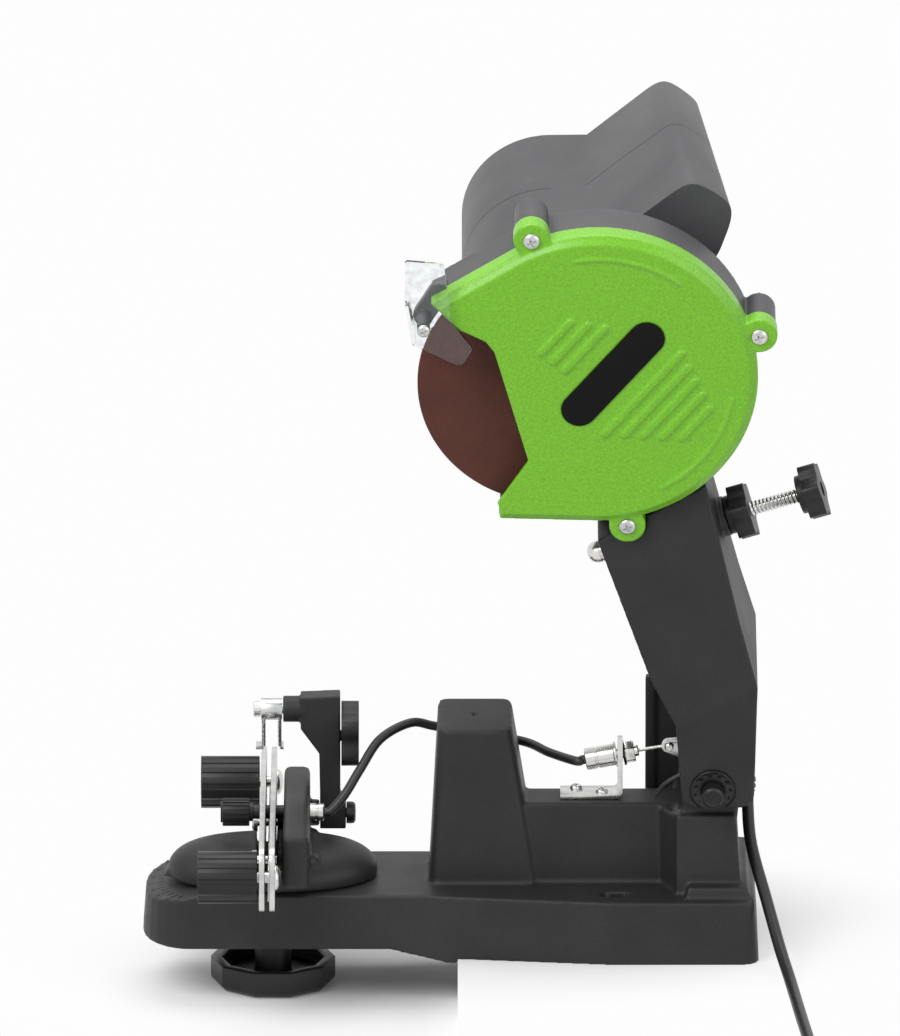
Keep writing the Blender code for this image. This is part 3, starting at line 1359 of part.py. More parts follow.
def motor_front(frame):
    """Front half of the motor housing, open to the rear half."""
    start = GUARD_BACK_V + GAP
    front = piece("motor_housing_front", housing_solid(SLAB_NEAR_V, MOTOR_SEAM_V - GAP),
                  DARK_GREY, frame)
    join(front, tool("motor_neck", rod(MOTOR_RADIUS - GAP, SLAB_NEAR_V + OVERRUN - start,
                                       Y_AXIS, (AXIS_X, start, AXIS_W), 36), frame))
    hollow_start = FAN_V - FAN_THICKNESS
    cut(front, tool("front_hollow", rod(
        MOTOR_RADIUS - MOTOR_WALL * 2, MOTOR_SEAM_V - hollow_start + OVERRUN,
        Y_AXIS, (AXIS_X, hollow_start, AXIS_W), 28), frame))
    cut(front, tool("front_bearing_seat", rod(
        BEARING_RADIUS + GAP, hollow_start - FRONT_BEARING_V + OVERRUN, Y_AXIS,
        (AXIS_X, FRONT_BEARING_V - GAP, AXIS_W), 20), frame))
    cut(front, tool("front_shaft_way", rod(
        SHAFT_RADIUS + OVERRUN, FRONT_BEARING_V, Y_AXIS,
        (AXIS_X, start - OVERRUN, AXIS_W), 16), frame))
    return front


def motor_rear(frame):
    """Rear half of the motor housing, with the rear bearing's seat."""
    rear = piece("motor_housing_rear", housing_solid(MOTOR_SEAM_V, MOTOR_END_V),
                 DARK_GREY, frame)
    cut(rear, tool("rear_hollow", rod(
        MOTOR_RADIUS - MOTOR_WALL * 2, REAR_BEARING_V - MOTOR_SEAM_V, Y_AXIS,
        (AXIS_X, MOTOR_SEAM_V - OVERRUN, AXIS_W), 28), frame))
    cut(rear, tool("rear_bearing_seat", rod(
        BEARING_RADIUS + GAP, BEARING_WIDTH + OVERRUN * 2 + GAP, Y_AXIS,
        (AXIS_X, REAR_BEARING_V - OVERRUN * 2, AXIS_W), 20), frame))
    cut(rear, tool("rear_shaft_way", rod(
        SHAFT_RADIUS + OVERRUN, SHAFT_END_V - REAR_BEARING_V + OVERRUN, Y_AXIS,
        (AXIS_X, REAR_BEARING_V, AXIS_W), 16), frame))
    x, w = ROCKER_CENTRE
    cut(rear, tool("rocker_well", block(
        (x - ROCKER_WIDTH / 2, MOTOR_END_V - ROCKER_DEPTH, w - ROCKER_LENGTH / 2),
        (x + ROCKER_WIDTH / 2, MOTOR_END_V + OVERRUN, w + ROCKER_LENGTH / 2)), frame))
    return rear


def switch_rocker(frame):
    """A rocker that tips about its own middle in the handle's rear face."""
    half = ROCKER_LENGTH / 2 - GAP * 2
    depth = ROCKER_DEPTH * ROCKER_BODY_SHARE
    foot = half * ROCKER_FOOT_SHARE
    side = [(-depth, -foot), (ROCKER_PROUD, -half), (GAP * 2, 0.0), (-GAP * 2, half),
            (-depth, foot)]
    half_width = ROCKER_WIDTH / 2 - GAP
    return piece("switch_rocker", plane_yz([side], -half_width, half_width), BLACK, frame,
                 (ROCKER_CENTRE[0], MOTOR_END_V, ROCKER_CENTRE[1]))


def stator(frame):
    """The laminated stack, with two ears that reach the housing's walls."""
    start = STATOR_V - STATOR_LENGTH / 2
    outer = MOTOR_RADIUS - MOTOR_WALL * 2 - GAP * 3
    core = piece("stator", rod(STATOR_RADIUS, STATOR_LENGTH, Y_AXIS,
                               (AXIS_X, start, AXIS_W), 28), ZINC, frame)
    join(core, tool("stator_ears", block(
        (AXIS_X - outer, start + OVERRUN, AXIS_W - MOTOR_WALL),
        (AXIS_X + outer, start + STATOR_LENGTH - OVERRUN, AXIS_W + MOTOR_WALL)), frame))
    cut(core, tool("stator_bore", rod(STATOR_BORE_RADIUS, STATOR_LENGTH + OVERRUN * 2,
                                      Y_AXIS, (AXIS_X, start - OVERRUN, AXIS_W), 24),
                   frame))
    return core


def motor_shaft(spindle):
    start = (DISC_V - DISC_THICKNESS / 2 - 3 * GAP - FLANGE_THICKNESS
             - ARBOR_NUT_HEIGHT)
    return piece("motor_shaft", rod(SHAFT_RADIUS, SHAFT_END_V - start, Y_AXIS,
                                    (0, start, 0), 20), STEEL, spindle)


def rotor_core(spindle):
    return piece("rotor_core", ring(ROTOR_RADIUS, SHAFT_RADIUS + GAP, STATOR_LENGTH,
                                    Y_AXIS, (0, STATOR_V - STATOR_LENGTH / 2, 0), 24),
                 ZINC, spindle)


def commutator(spindle):
    return piece("commutator", ring(COMMUTATOR_RADIUS, SHAFT_RADIUS + GAP,
                                    COMMUTATOR_LENGTH, Y_AXIS, (0, COMMUTATOR_V, 0), 18),
                 COPPER, spindle)


def carbon_brushes(frame):
    """Two brushes in line, from the housing wall to the commutator."""
    inner = COMMUTATOR_RADIUS + GAP
    outer = MOTOR_RADIUS - MOTOR_WALL * 2 - GAP * 2
    middle = COMMUTATOR_V + COMMUTATOR_LENGTH / 2
    half = COMMUTATOR_LENGTH / 4
    for side, name in ((-1, "left_brush"), (1, "right_brush")):
        x0, x1 = sorted((AXIS_X + side * inner, AXIS_X + side * outer))
        piece(name, block((x0, middle - half, AXIS_W - half / 2),
                          (x1, middle + half, AXIS_W + half / 2)), BLACK, frame)


def cooling_fan(spindle):
    """A hub with radial blades behind the front bearing."""
    points = []
    for i in range(FAN_BLADES):
        for share, radius in ((0.0, FAN_HUB_SHARE), (0.2, 1.0), (0.4, 1.0),
                              (0.5, FAN_HUB_SHARE)):
            angle = 2 * math.pi * (i + share) / FAN_BLADES
            points.append((FAN_RADIUS * radius * math.cos(angle),
                           FAN_RADIUS * radius * math.sin(angle)))
    hole = circle((0, 0), SHAFT_RADIUS + GAP, 16)
    half = FAN_THICKNESS / 2
    return piece("cooling_fan", plane_xw([points, hole], FAN_V - half, FAN_V + half),
                 BLACK, spindle)


def bearings(frame):
    for start, name in ((FRONT_BEARING_V, "front_bearing"), (REAR_BEARING_V, "rear_bearing")):
        piece(name, ring(BEARING_RADIUS, SHAFT_RADIUS + GAP, BEARING_WIDTH, Y_AXIS,
                         (AXIS_X, start, AXIS_W), 20), STEEL, frame)


def eye_shield(frame):
    """Clear shield at the mouth's top corner, with a flange turned back at its left."""
    low = SHIELD_V
    high = SHIELD_V + SHIELD_THICKNESS
    shield = piece("eye_shield", plane_xw([SHIELD_OUTLINE], low, high), CLEAR, frame)
    corner, bend = SHIELD_OUTLINE[2], SHIELD_OUTLINE[1]
    strip = [(bend[0], bend[1]), (corner[0], corner[1]),
             (corner[0] + SHIELD_THICKNESS, corner[1]),
             (bend[0] + SHIELD_THICKNESS, bend[1])]
    join(shield, tool("shield_flange", plane_xw(
        [strip], low + GAP, low + SHIELD_FLANGE_DEPTH), frame))
    x, w = SHIELD_SCREW
    cut(shield, tool("shield_hole", rod(SHIELD_SCREW_RADIUS + GAP, OVERRUN * 3, Y_AXIS,
                                        (x, low - OVERRUN, w), 12), frame))
    return shield


def shield_lug():
    """The ear on the guard, with the post that the shield is screwed to."""
    low = COVER_BACK_V + 2 * GAP
    ear = plane_xw([capsule(SHIELD_LUG_ROOT, SHIELD_SCREW, SHIELD_LUG_RADIUS, 6)], low,
                   low + SHIELD_LUG_RADIUS, "shield_lug")
    return ear


def shield_post():
    start = SHIELD_V + SHIELD_THICKNESS + GAP
    x, w = SHIELD_SCREW
    return rod(SHIELD_POST_RADIUS, COVER_BACK_V + OVERRUN * 2 - start, Y_AXIS,
               (x, start, w), 14)


def stop_screw(frame):
    """Depth screw: a threaded rod with its domed cap, star knob at the far end."""
    cap_start = -DEPTH_CAP_LENGTH / 2
    profile = ((0, cap_start), (DEPTH_CAP_RADIUS * 0.6, cap_start),
               (DEPTH_CAP_RADIUS, cap_start / 2), (DEPTH_CAP_RADIUS, DEPTH_CAP_LENGTH / 2),
               (DEPTH_ROD_RADIUS, DEPTH_CAP_LENGTH / 2), (DEPTH_ROD_RADIUS, DEPTH_LENGTH),
               (0, DEPTH_LENGTH))
    return piece("depth_screw", turned(profile, Z_AXIS, (0, 0, 0), 20), STEEL, frame)


def star_knob(name, frame, start):
    """A lobed knob on the depth screw, its hub facing the arm."""
    shape = lobed(STAR_RADIUS, STAR_LOBES, STAR_SHARE)
    hole = circle((0, 0), DEPTH_ROD_RADIUS + GAP, 16)
    knob = piece(name, outline([shape, hole], start, start + STAR_THICKNESS), BLACK, frame)
    return knob


def ellipse(half_x, half_y, steps=32):
    return [(half_x * math.cos(2 * math.pi * i / steps),
             half_y * math.sin(2 * math.pi * i / steps)) for i in range(steps)]


def stacked(layers, name="stacked"):
    """A solid through several outlines, one above the other."""
    bm = bmesh.new()
    rows = [[bm.verts.new((x, y, z)) for x, y in points] for points, z in layers]
    bm.faces.new(rows[0])
    bm.faces.new(rows[-1])
    for low, high in zip(rows, rows[1:]):
        for i in range(len(low)):
            j = (i + 1) % len(low)
            bm.faces.new((low[i], low[j], high[j], high[i]))
    return smooth(mesh_from(bm, name))


def turntable_dome():
    floor = DECK_HEIGHT + GAP
    layers = [(ellipse(TURNTABLE_HALF_LENGTH, TURNTABLE_HALF_DEPTH), floor)]
    rise = TURNTABLE_HEIGHT - TURNTABLE_STRAIGHT
    for k in range(DOME_STEPS):
        angle = math.pi / 2 * k / (DOME_STEPS - 1)
        draw_in = TURNTABLE_ROUNDING * (1 - math.cos(angle))
        layers.append((ellipse(TURNTABLE_HALF_LENGTH - draw_in,
                               TURNTABLE_HALF_DEPTH - draw_in),
                       floor + TURNTABLE_STRAIGHT + rise * math.sin(angle)))
    return stacked(layers, "dome")


def turntable(frame):
    """Swivelling body: low dome with pointer, the beam across it, and its bosses."""
    body = piece("vise_turntable", turntable_dome(), BLACK, frame)
    floor = DECK_HEIGHT + GAP
    half = POINTER_WIDTH / 2
    join(body, tool("pointer", frustum(
        (-POINTER_REACH, -POINTER_REACH / 2, -half, half, floor, floor),
        (-POINTER_REACH + half, -POINTER_REACH / 2, -half, half,
         floor + POINTER_HEIGHT, floor + POINTER_HEIGHT), half / 2), frame))
    join(body, tool("saddle", block(
        (BEAM_FRONT + GAP, -SADDLE_HALF, floor + TURNTABLE_STRAIGHT),
        (BEAM_FRONT + BEAM_THICKNESS * SADDLE_SHARE, SADDLE_HALF,
         BEAM_BOTTOM_Z + BEAM_THICKNESS / 2), BEAM_CHAMFER), frame))
    join(body, tool("beam", block(
        (BEAM_FRONT, -BEAM_HALF, BEAM_BOTTOM_Z),
        (BEAM_FRONT + BEAM_THICKNESS, BEAM_HALF, BEAM_TOP_Z), BEAM_CHAMFER), frame))
    boss_start = FIXED_RAIL_FRONT + RAIL_THICKNESS + GAP
    for y in (-GUIDE_Y, GUIDE_Y):
        join(body, tool("guide_boss", rod(
            GUIDE_COLLAR_RADIUS, BEAM_FRONT + BEAM_CHAMFER - boss_start, X_AXIS,
            (boss_start, y, GUIDE_Z), 16), frame))
    beam_back = BEAM_FRONT + BEAM_THICKNESS
    join(body, tool("stop_boss", rod(
        STOP_PIVOT_BOSS_RADIUS, STOP_PIVOT_FRONT - GAP - beam_back + BEAM_CHAMFER, X_AXIS,
        (beam_back - BEAM_CHAMFER, STOP_Y, STOP_PIVOT_Z), 20), frame))
    channel = FIXED_RAIL_FRONT - RAIL_SLOT - RAIL_THICKNESS - OVERRUN
    cut(body, tool("rail_channel", block(
        (channel, -TURNTABLE_HALF_DEPTH - OVERRUN, RAIL_BOTTOM_Z - GAP * 2),
        (boss_start, TURNTABLE_HALF_DEPTH + OVERRUN, floor + TURNTABLE_HEIGHT + OVERRUN)),
        frame))
    for y in (-GUIDE_Y, GUIDE_Y):
        cut(body, tool("guide_hole", rod(
            GUIDE_RADIUS + GAP, BEAM_FRONT + BEAM_THICKNESS * GUIDE_DEPTH_SHARE
            - boss_start + OVERRUN, X_AXIS, (boss_start - OVERRUN, y, GUIDE_Z), 12),
            frame))
    cut(body, tool("adjuster_hole", rod(
        ADJUSTER_NECK_RADIUS + GAP, BEAM_THICKNESS + OVERRUN * 2, X_AXIS,
        (BEAM_FRONT - OVERRUN, ADJUSTER_Y, ADJUSTER_Z), 16), frame))
    cut(body, tool("stop_hole", rod(
        STOP_BOLT_RADIUS + GAP, STOP_PIVOT_FRONT, X_AXIS,
        (BEAM_FRONT + BEAM_CHAMFER, STOP_Y, STOP_PIVOT_Z), 12), frame))
    cut(body, tool("stud_hole", rod(
        SWIVEL_BOLT_RADIUS + GAP, SWIVEL_STUD_TOP_Z + GAP - DECK_HEIGHT + OVERRUN,
        start=(0, 0, DECK_HEIGHT - OVERRUN), sides=16), frame))
    return body


def rail_outline():
    """A jaw rail in Y and Z, rounded, with its windows and holes."""
    r = RAIL_CORNER
    y, z0, z1 = RAIL_HALF, RAIL_BOTTOM_Z, RAIL_TOP_Z
    quarter = math.pi / 2
    plate = (arc((y - r, z0 + r), r, -quarter, 0, 4) + arc((y - r, z1 - r), r, 0, quarter, 4)
             + arc((r - y, z1 - r), r, quarter, 2 * quarter, 4)
             + arc((r - y, z0 + r), r, 2 * quarter, 3 * quarter, 4))
    loops = [plate]
    half = WINDOW_HEIGHT / 2
    for side in (-1, 1):
        ends = sorted((side * (WINDOW_END - half), side * (WINDOW_END - WINDOW_LENGTH + half)))
        loops.append(capsule((ends[0], WINDOW_Z), (ends[1], WINDOW_Z), half, 5))
        loops.append(circle((side * GUIDE_Y, GUIDE_Z), GUIDE_RADIUS + GAP, 12))
        loops.append(circle((side * RAIL_BOLT_Y, RAIL_BOLT_Z), RAIL_BOLT_RADIUS + GAP, 12))
    loops.append(circle((ADJUSTER_Y, ADJUSTER_Z), ADJUSTER_NECK_RADIUS + GAP, 14))
    return loops


def jaw_rail(name, frame, front):
    return piece(name, plane_yz(rail_outline(), front, front + RAIL_THICKNESS), ZINC,
                 frame)


def guide_strip(frame):
    """The thin strip against the fixed rail that sets the chain's height."""
    back = FIXED_RAIL_FRONT - GAP
    plate = [(-STRIP_HALF, RAIL_BOTTOM_Z + GAP), (STRIP_HALF, RAIL_BOTTOM_Z + GAP),
             (STRIP_HALF, STRIP_TOP_Z), (-STRIP_HALF, STRIP_TOP_Z)]
    holes = [circle((side * GUIDE_Y, GUIDE_Z), GUIDE_RADIUS + GAP, 12) for side in (-1, 1)]
    return piece("guide_strip", plane_yz([plate] + holes, back - STRIP_THICKNESS, back),
                 STEEL, frame)


def guide_pins(frame):
    """Two pins in the beam, with collars at their free ends."""
    length = BEAM_FRONT + BEAM_THICKNESS * GUIDE_DEPTH_SHARE - GAP - GUIDE_FRONT
    profile = ((0, 0), (GUIDE_COLLAR_RADIUS, 0), (GUIDE_COLLAR_RADIUS, RAIL_THICKNESS),
               (GUIDE_RADIUS, RAIL_THICKNESS), (GUIDE_RADIUS, length), (0, length))
    for y, name in ((-GUIDE_Y, "near_guide_pin"), (GUIDE_Y, "far_guide_pin")):
        piece(name, turned(profile, X_AXIS, (GUIDE_FRONT, y, GUIDE_Z), 14), STEEL, frame)


def rail_bolts(frame):
    """Dome-headed bolts through both rails into the ridged knobs."""
    head = RAIL_BOLT_HEAD_HEIGHT
    radius = RAIL_BOLT_HEAD_RADIUS
    start = FIXED_RAIL_FRONT + RAIL_THICKNESS + GAP
    length = start - RIDGED_KNOB_START + RIDGED_KNOB_LENGTH * BOLT_REACH_SHARE
    profile = ((0, -head), (radius * 0.55, -head * 0.86), (radius * 0.88, -head * 0.45),
               (radius, 0), (RAIL_BOLT_RADIUS, 0), (RAIL_BOLT_RADIUS, length), (0, length))
    for y, name in ((-RAIL_BOLT_Y, "near_rail_bolt"), (RAIL_BOLT_Y, "far_rail_bolt")):
        piece(name, turned(profile, -X_AXIS, (start, y, RAIL_BOLT_Z), 16), STEEL, frame)


def ridged_outline(radius, ribs, depth):
    """A grip outline with square ridges round it."""
    points = []
    for i in range(ribs):
        for share, low in ((0.0, 0), (0.45, 0), (0.55, 1), (0.9, 1)):
            angle = 2 * math.pi * (i + share) / ribs
            reach = radius - depth * low
            points.append((reach * math.cos(angle), reach * math.sin(angle)))
    return points


def ridged_knob(name, frame, y):
    shape = ridged_outline(RIDGED_KNOB_RADIUS, RIDGED_KNOB_RIBS, RIDGE_DEPTH)
    end = RIDGED_KNOB_START - RIDGED_KNOB_LENGTH
    knob = piece(name, plane_yz([shape], end, RIDGED_KNOB_START), BLACK, frame,
                 (0, y, RAIL_BOLT_Z))
    reach = RIDGED_KNOB_LENGTH * BOLT_REACH_SHARE + OVERRUN
    cut(knob, tool(name + "_bore", rod(RAIL_BOLT_RADIUS + GAP, reach + OVERRUN, -X_AXIS,
                                       (RIDGED_KNOB_START + OVERRUN, y, RAIL_BOLT_Z), 12),
                   frame))
    return knob


def tension_adjuster(frame):
    """Knurled adjuster whose neck runs through the rails into the beam."""
    shape = ridged_outline(ADJUSTER_RADIUS, RIDGED_KNOB_RIBS, RIDGE_DEPTH)
    start = ADJUSTER_START
    knob = piece("tension_adjuster", plane_yz([shape], start - ADJUSTER_LENGTH, start),
                 BLACK, frame, (0, ADJUSTER_Y, ADJUSTER_Z))
    end = BEAM_FRONT + BEAM_THICKNESS / 2
    join(knob, tool("adjuster_neck", rod(ADJUSTER_NECK_RADIUS, end - start + OVERRUN,
                                         X_AXIS, (start - OVERRUN, ADJUSTER_Y, ADJUSTER_Z),
                                         14), frame))
    return knob


def cable_ferrule(frame):
    """The ferrule that the cable's housing ends in, at the beam's back."""
    back = BEAM_FRONT + BEAM_THICKNESS
    profile = ((HOUSING_RADIUS + GAP, 0), (FERRULE_RADIUS, 0), (FERRULE_RADIUS,
               FERRULE_LENGTH), (HOUSING_RADIUS + GAP, FERRULE_LENGTH))
    return piece("cable_ferrule", turned(profile, X_AXIS,
                                         (back + GAP, ADJUSTER_Y, ADJUSTER_Z), 16,
                                         closed=True), STEEL, frame)


def stop_arm(frame):
    """Upright arm behind the beam, with the tube that carries the chain pawl."""
    low = STOP_PIVOT_Z - STOP_PIVOT_BOSS_RADIUS
    side = [(STOP_PIVOT_FRONT, low), (STOP_PIVOT_BACK, low),
            (STOP_PIVOT_BACK, STOP_PIVOT_Z + STOP_PIVOT_BOSS_RADIUS),
            (STOP_ARM_BACK, STOP_PIVOT_Z + STOP_PIVOT_BOSS_RADIUS + OVERRUN * 2),
            (STOP_ARM_BACK, STOP_ARM_TOP_Z), (STOP_ARM_SHOULDER, STOP_ARM_TOP_Z - GAP * 3),
            (STOP_ARM_SHOULDER, STOP_ARM_UNDER_Z), (STOP_ARM_WAIST, STOP_ARM_WAIST_Z),
            (STOP_PIVOT_FRONT, STOP_PIVOT_Z + STOP_PIVOT_BOSS_RADIUS * 2)]
    half = STOP_ARM_DEPTH / 2
    at = (0, STOP_Y, STOP_PIVOT_Z)
    flat = [(x, z - STOP_PIVOT_Z) for x, z in side]
    arm = piece("stop_arm", plane_xw([flat], -half, half), BLACK, frame, at)
    join(arm, tool("stop_tube", rod(
        STOP_TUBE_RADIUS, STOP_ARM_SHOULDER - STOP_TUBE_FRONT + OVERRUN, X_AXIS,
        (STOP_TUBE_FRONT, STOP_Y, STOP_TUBE_Z), 20), frame))
    cut(arm, tool("stop_bolt_way", rod(
        STOP_BOLT_RADIUS + GAP, STOP_PIVOT_BACK, X_AXIS,
        (STOP_PIVOT_FRONT - OVERRUN, STOP_Y, STOP_PIVOT_Z), 12), frame))
    cut(arm, tool("pawl_pin_hole", rod(
        PAWL_PIN_RADIUS + GAP, STOP_ARM_SHOULDER - STOP_TUBE_FRONT, X_AXIS,
        (STOP_TUBE_FRONT - OVERRUN, STOP_Y, STOP_TUBE_Z), 12), frame))
    cut(arm, tool("stud_way", rod(
        LOBED_STUD_RADIUS + GAP, STOP_ARM_BACK, X_AXIS,
        (STOP_ARM_WAIST + OVERRUN, STOP_Y, LOBED_KNOB_Z), 12), frame))
    return arm


def stop_bolt(frame):
    start = STOP_PIVOT_BACK + GAP
    length = start - BEAM_FRONT - BEAM_THICKNESS * GUIDE_DEPTH_SHARE
    profile = ((0, -STOP_BOLT_HEAD_HEIGHT), (STOP_BOLT_HEAD_RADIUS, -STOP_BOLT_HEAD_HEIGHT),
               (STOP_BOLT_HEAD_RADIUS, 0), (STOP_BOLT_RADIUS, 0),
               (STOP_BOLT_RADIUS, length), (0, length))
    return piece("stop_bolt", turned(profile, -X_AXIS, (start, STOP_Y, STOP_PIVOT_Z), 14),
                 BLACK_STEEL, frame)


def chain_pawl(frame):
    """The chain stop: a sleeve on its pin with two legs that reach down."""
    at = (0, STOP_Y, STOP_TUBE_Z)
    pawl = piece("chain_pawl", rod(PAWL_HUB_RADIUS, PAWL_HUB_BACK - PAWL_HUB_FRONT, X_AXIS,
                                   (PAWL_HUB_FRONT, 0, 0), 16), ZINC, frame, at)
    half = PAWL_LEG_WIDTH / 2
    for x, foot in ((PAWL_HUB_FRONT, -1), (PAWL_HUB_BACK - PAWL_LEG_THICKNESS, 1)):
        x += GAP * foot * -1
        join(pawl, tool("pawl_leg", block(
            (x, STOP_Y - half, PAWL_FOOT_Z), (x + PAWL_LEG_THICKNESS, STOP_Y + half,
                                              STOP_TUBE_Z)), frame))
        x0, x1 = sorted((x + PAWL_LEG_THICKNESS / 2, x + foot * PAWL_FOOT_LENGTH))
        join(pawl, tool("pawl_foot", block(
            (x0, STOP_Y - half + GAP, PAWL_FOOT_Z - PAWL_LEG_THICKNESS + GAP),
            (x1, STOP_Y + half - GAP, PAWL_FOOT_Z + GAP)), frame))
    cut(pawl, tool("pawl_bore", rod(
        PAWL_PIN_RADIUS + GAP, PAWL_HUB_BACK - PAWL_HUB_FRONT + OVERRUN * 2, X_AXIS,
        (PAWL_HUB_FRONT - OVERRUN, STOP_Y, STOP_TUBE_Z), 12), frame))
    return pawl


def pawl_pin(frame):
    end = STOP_ARM_SHOULDER - OVERRUN - GAP
    profile = ((0, 0), (PAWL_HUB_RADIUS * PIN_HEAD_SHARE, 0),
               (PAWL_HUB_RADIUS * PIN_HEAD_SHARE, PAWL_HUB_FRONT - GAP - PAWL_PIN_FRONT),
               (PAWL_PIN_RADIUS, PAWL_HUB_FRONT - GAP - PAWL_PIN_FRONT),
               (PAWL_PIN_RADIUS, end - PAWL_PIN_FRONT), (0, end - PAWL_PIN_FRONT))
    return piece("pawl_pin", turned(profile, X_AXIS, (PAWL_PIN_FRONT, STOP_Y, STOP_TUBE_Z),
                                    14), STEEL, frame)


def lobed_knob(frame):
    """The knob behind the stop arm that sets how far the chain stop reaches."""
    shape = lobed(LOBED_KNOB_RADIUS, LOBED_KNOB_LOBES, STAR_SHARE)
    start = STOP_ARM_BACK + GAP * 2
    knob = piece("stop_knob", plane_yz([shape], start, start + LOBED_KNOB_THICKNESS), BLACK,
                 frame, (0, STOP_Y, LOBED_KNOB_Z))
    stud_start = STOP_ARM_WAIST + OVERRUN * 2
    join(knob, tool("stop_stud", rod(LOBED_STUD_RADIUS, start + OVERRUN - stud_start,
                                     X_AXIS, (stud_start, STOP_Y, LOBED_KNOB_Z), 12),
                    frame))
    return knob


def swivel_stud(frame):
    return piece("swivel_stud", rod(SWIVEL_BOLT_RADIUS, SWIVEL_STUD_TOP_Z
                                    - SWIVEL_STUD_BOTTOM_Z,
                                    start=(0, 0, SWIVEL_STUD_BOTTOM_Z), sides=16), STEEL,
                 frame)


def clamp_knob(frame):
    """Ten-sided cup knob under the base that clamps the swivel."""
    low, high = CLAMP_KNOB_BOTTOM_Z, CLAMP_KNOB_TOP_Z
    outer = circle((0, 0), CLAMP_KNOB_RADIUS, CLAMP_KNOB_SIDES)
    bottom = circle((0, 0), CLAMP_KNOB_RADIUS - CLAMP_KNOB_WALL, CLAMP_KNOB_SIDES)
    knob = piece("clamp_knob", stacked([(bottom, low), (outer, low + CLAMP_KNOB_WALL),
                                        (outer, high)]), BLACK, frame)
    inner = circle((0, 0), CLAMP_KNOB_RADIUS - 2 * CLAMP_KNOB_WALL, CLAMP_KNOB_SIDES)
    cut(knob, tool("cup", outline([inner], low + 2 * CLAMP_KNOB_WALL, high + OVERRUN),
                   frame))
    join(knob, tool("hub", rod(CLAMP_HUB_RADIUS, FRONT_LIFT - GAP - low - CLAMP_KNOB_WALL,
                               start=(0, 0, low + CLAMP_KNOB_WALL)), frame))
    cut(knob, tool("knob_bore", rod(
        SWIVEL_BOLT_RADIUS + GAP, FRONT_LIFT - SWIVEL_STUD_BOTTOM_Z + OVERRUN,
        start=(0, 0, SWIVEL_STUD_BOTTOM_Z - GAP), sides=16), frame))
    return knob


def cable_line():
    return Vector((math.cos(CABLE_ANGLE), 0, math.sin(CABLE_ANGLE)))


def cable_point(x):
    """The point of the straight cable stretch at x."""
    start = Vector((BRACKET_X, 0, CABLE_Z))
    return start + cable_line() * ((x - BRACKET_X) / math.cos(CABLE_ANGLE))


def cable_bracket():
    """Zinc angle on the spine that holds the cable's barrel."""
    floor = SPINE_TOP_Z + GAP
    t = BRACKET_THICKNESS
    side = [(BRACKET_FOOT_END, floor), (BRACKET_X + t, floor), (BRACKET_X + t, BRACKET_TOP_Z),
            (BRACKET_X, BRACKET_TOP_Z), (BRACKET_X, floor + t), (BRACKET_FOOT_END, floor + t)]
    bracket = piece("cable_bracket", plane_xw([side], -BRACKET_HALF_WIDTH,
                                              BRACKET_HALF_WIDTH), ZINC)
    cut(bracket, tool("barrel_hole", rod(
        BARREL_RADIUS / 2 + GAP, BRACKET_THICKNESS * 4, cable_line(),
        cable_point(BRACKET_X - BRACKET_THICKNESS), 14)))
    for x in BRACKET_SCREW_XS:
        cut(bracket, tool("foot_hole", rod(
            BRACKET_THREAD_RADIUS + GAP, BRACKET_THICKNESS + OVERRUN * 2,
            start=(x, bracket_screw_y(x), floor - OVERRUN), sides=12)))
    return bracket


def cable_barrel():
    """The barrel that the housing ends in, threaded through the bracket."""
    start = cable_point(BARREL_START)
    body = (cable_point(BARREL_END) - start).length
    neck_end = (cable_point(BRACKET_X + BRACKET_THICKNESS + LOCK_NUT_LENGTH
                            + LOCK_NUT_TIP) - start).length
    seat = body * BARREL_SEAT_SHARE
    bore = WIRE_RADIUS + GAP
    profile = ((HOUSING_RADIUS + GAP, 0), (BARREL_RADIUS, 0), (BARREL_RADIUS, body),
               (BARREL_RADIUS / 2, body), (BARREL_RADIUS / 2, neck_end), (bore, neck_end),
               (bore, seat), (HOUSING_RADIUS + GAP, seat))
    return piece("cable_barrel", turned(profile, cable_line(), start, 18, closed=True),
                 STEEL)


def lock_nut():
    start = cable_point(BRACKET_X + BRACKET_THICKNESS + LOCK_NUT_SPACE)
    return piece("lock_nut", hex_nut(LOCK_NUT_RADIUS, BARREL_RADIUS / 2 + GAP,
                                     LOCK_NUT_LENGTH, cable_line(), start), STEEL)


def lever_tip_point():
    """The nipple's place, in the part's own frame."""
    x, w = LEVER_TIP
    return Vector((PIVOT_X + x, -w * math.sin(ARM_TILT), PIVOT_Z + w * math.cos(ARM_TILT)))


def wire_knee():
    """Where the wire leaves the barrel's neck and turns to the lever."""
    return cable_point(BRACKET_X + BRACKET_THICKNESS + LOCK_NUT_LENGTH + LOCK_NUT_TIP
                       + OVERRUN)


def wire_way():
    return (lever_tip_point() - wire_knee()).normalized()


def inner_wire():
    tip = lever_tip_point()
    end = tip - wire_way() * (NIPPLE_RADIUS + 2 * GAP)
    points = [cable_point(BARREL_START / 2), cable_point(BRACKET_X), wire_knee(),
              wire_knee().lerp(end, 0.5), end]
    return piece("inner_wire", tube(points, WIRE_RADIUS, 1), STEEL)


def housing_route():
    """The cable housing from the barrel, behind the tower, to the vise's ferrule."""
    barrel = cable_point(BARREL_START)
    way = cable_line()
    straight = [barrel + way * BARREL_RADIUS * share for share in (0.95, 0.3, -0.3, -0.9)]
    vise = Vector((VISE_X + BEAM_FRONT + BEAM_THICKNESS + 2 * GAP, ADJUSTER_Y, ADJUSTER_Z))
    after = vise + X_AXIS * FERRULE_LENGTH * FERRULE_EXIT_SHARE
    return straight + [Vector(p) for p in HOUSING_POINTS] + [after, vise]


def cable_housing():
    return piece("cable_housing", tube(smooth_path(housing_route(), 3), HOUSING_RADIUS, 1),
                 RUBBER)


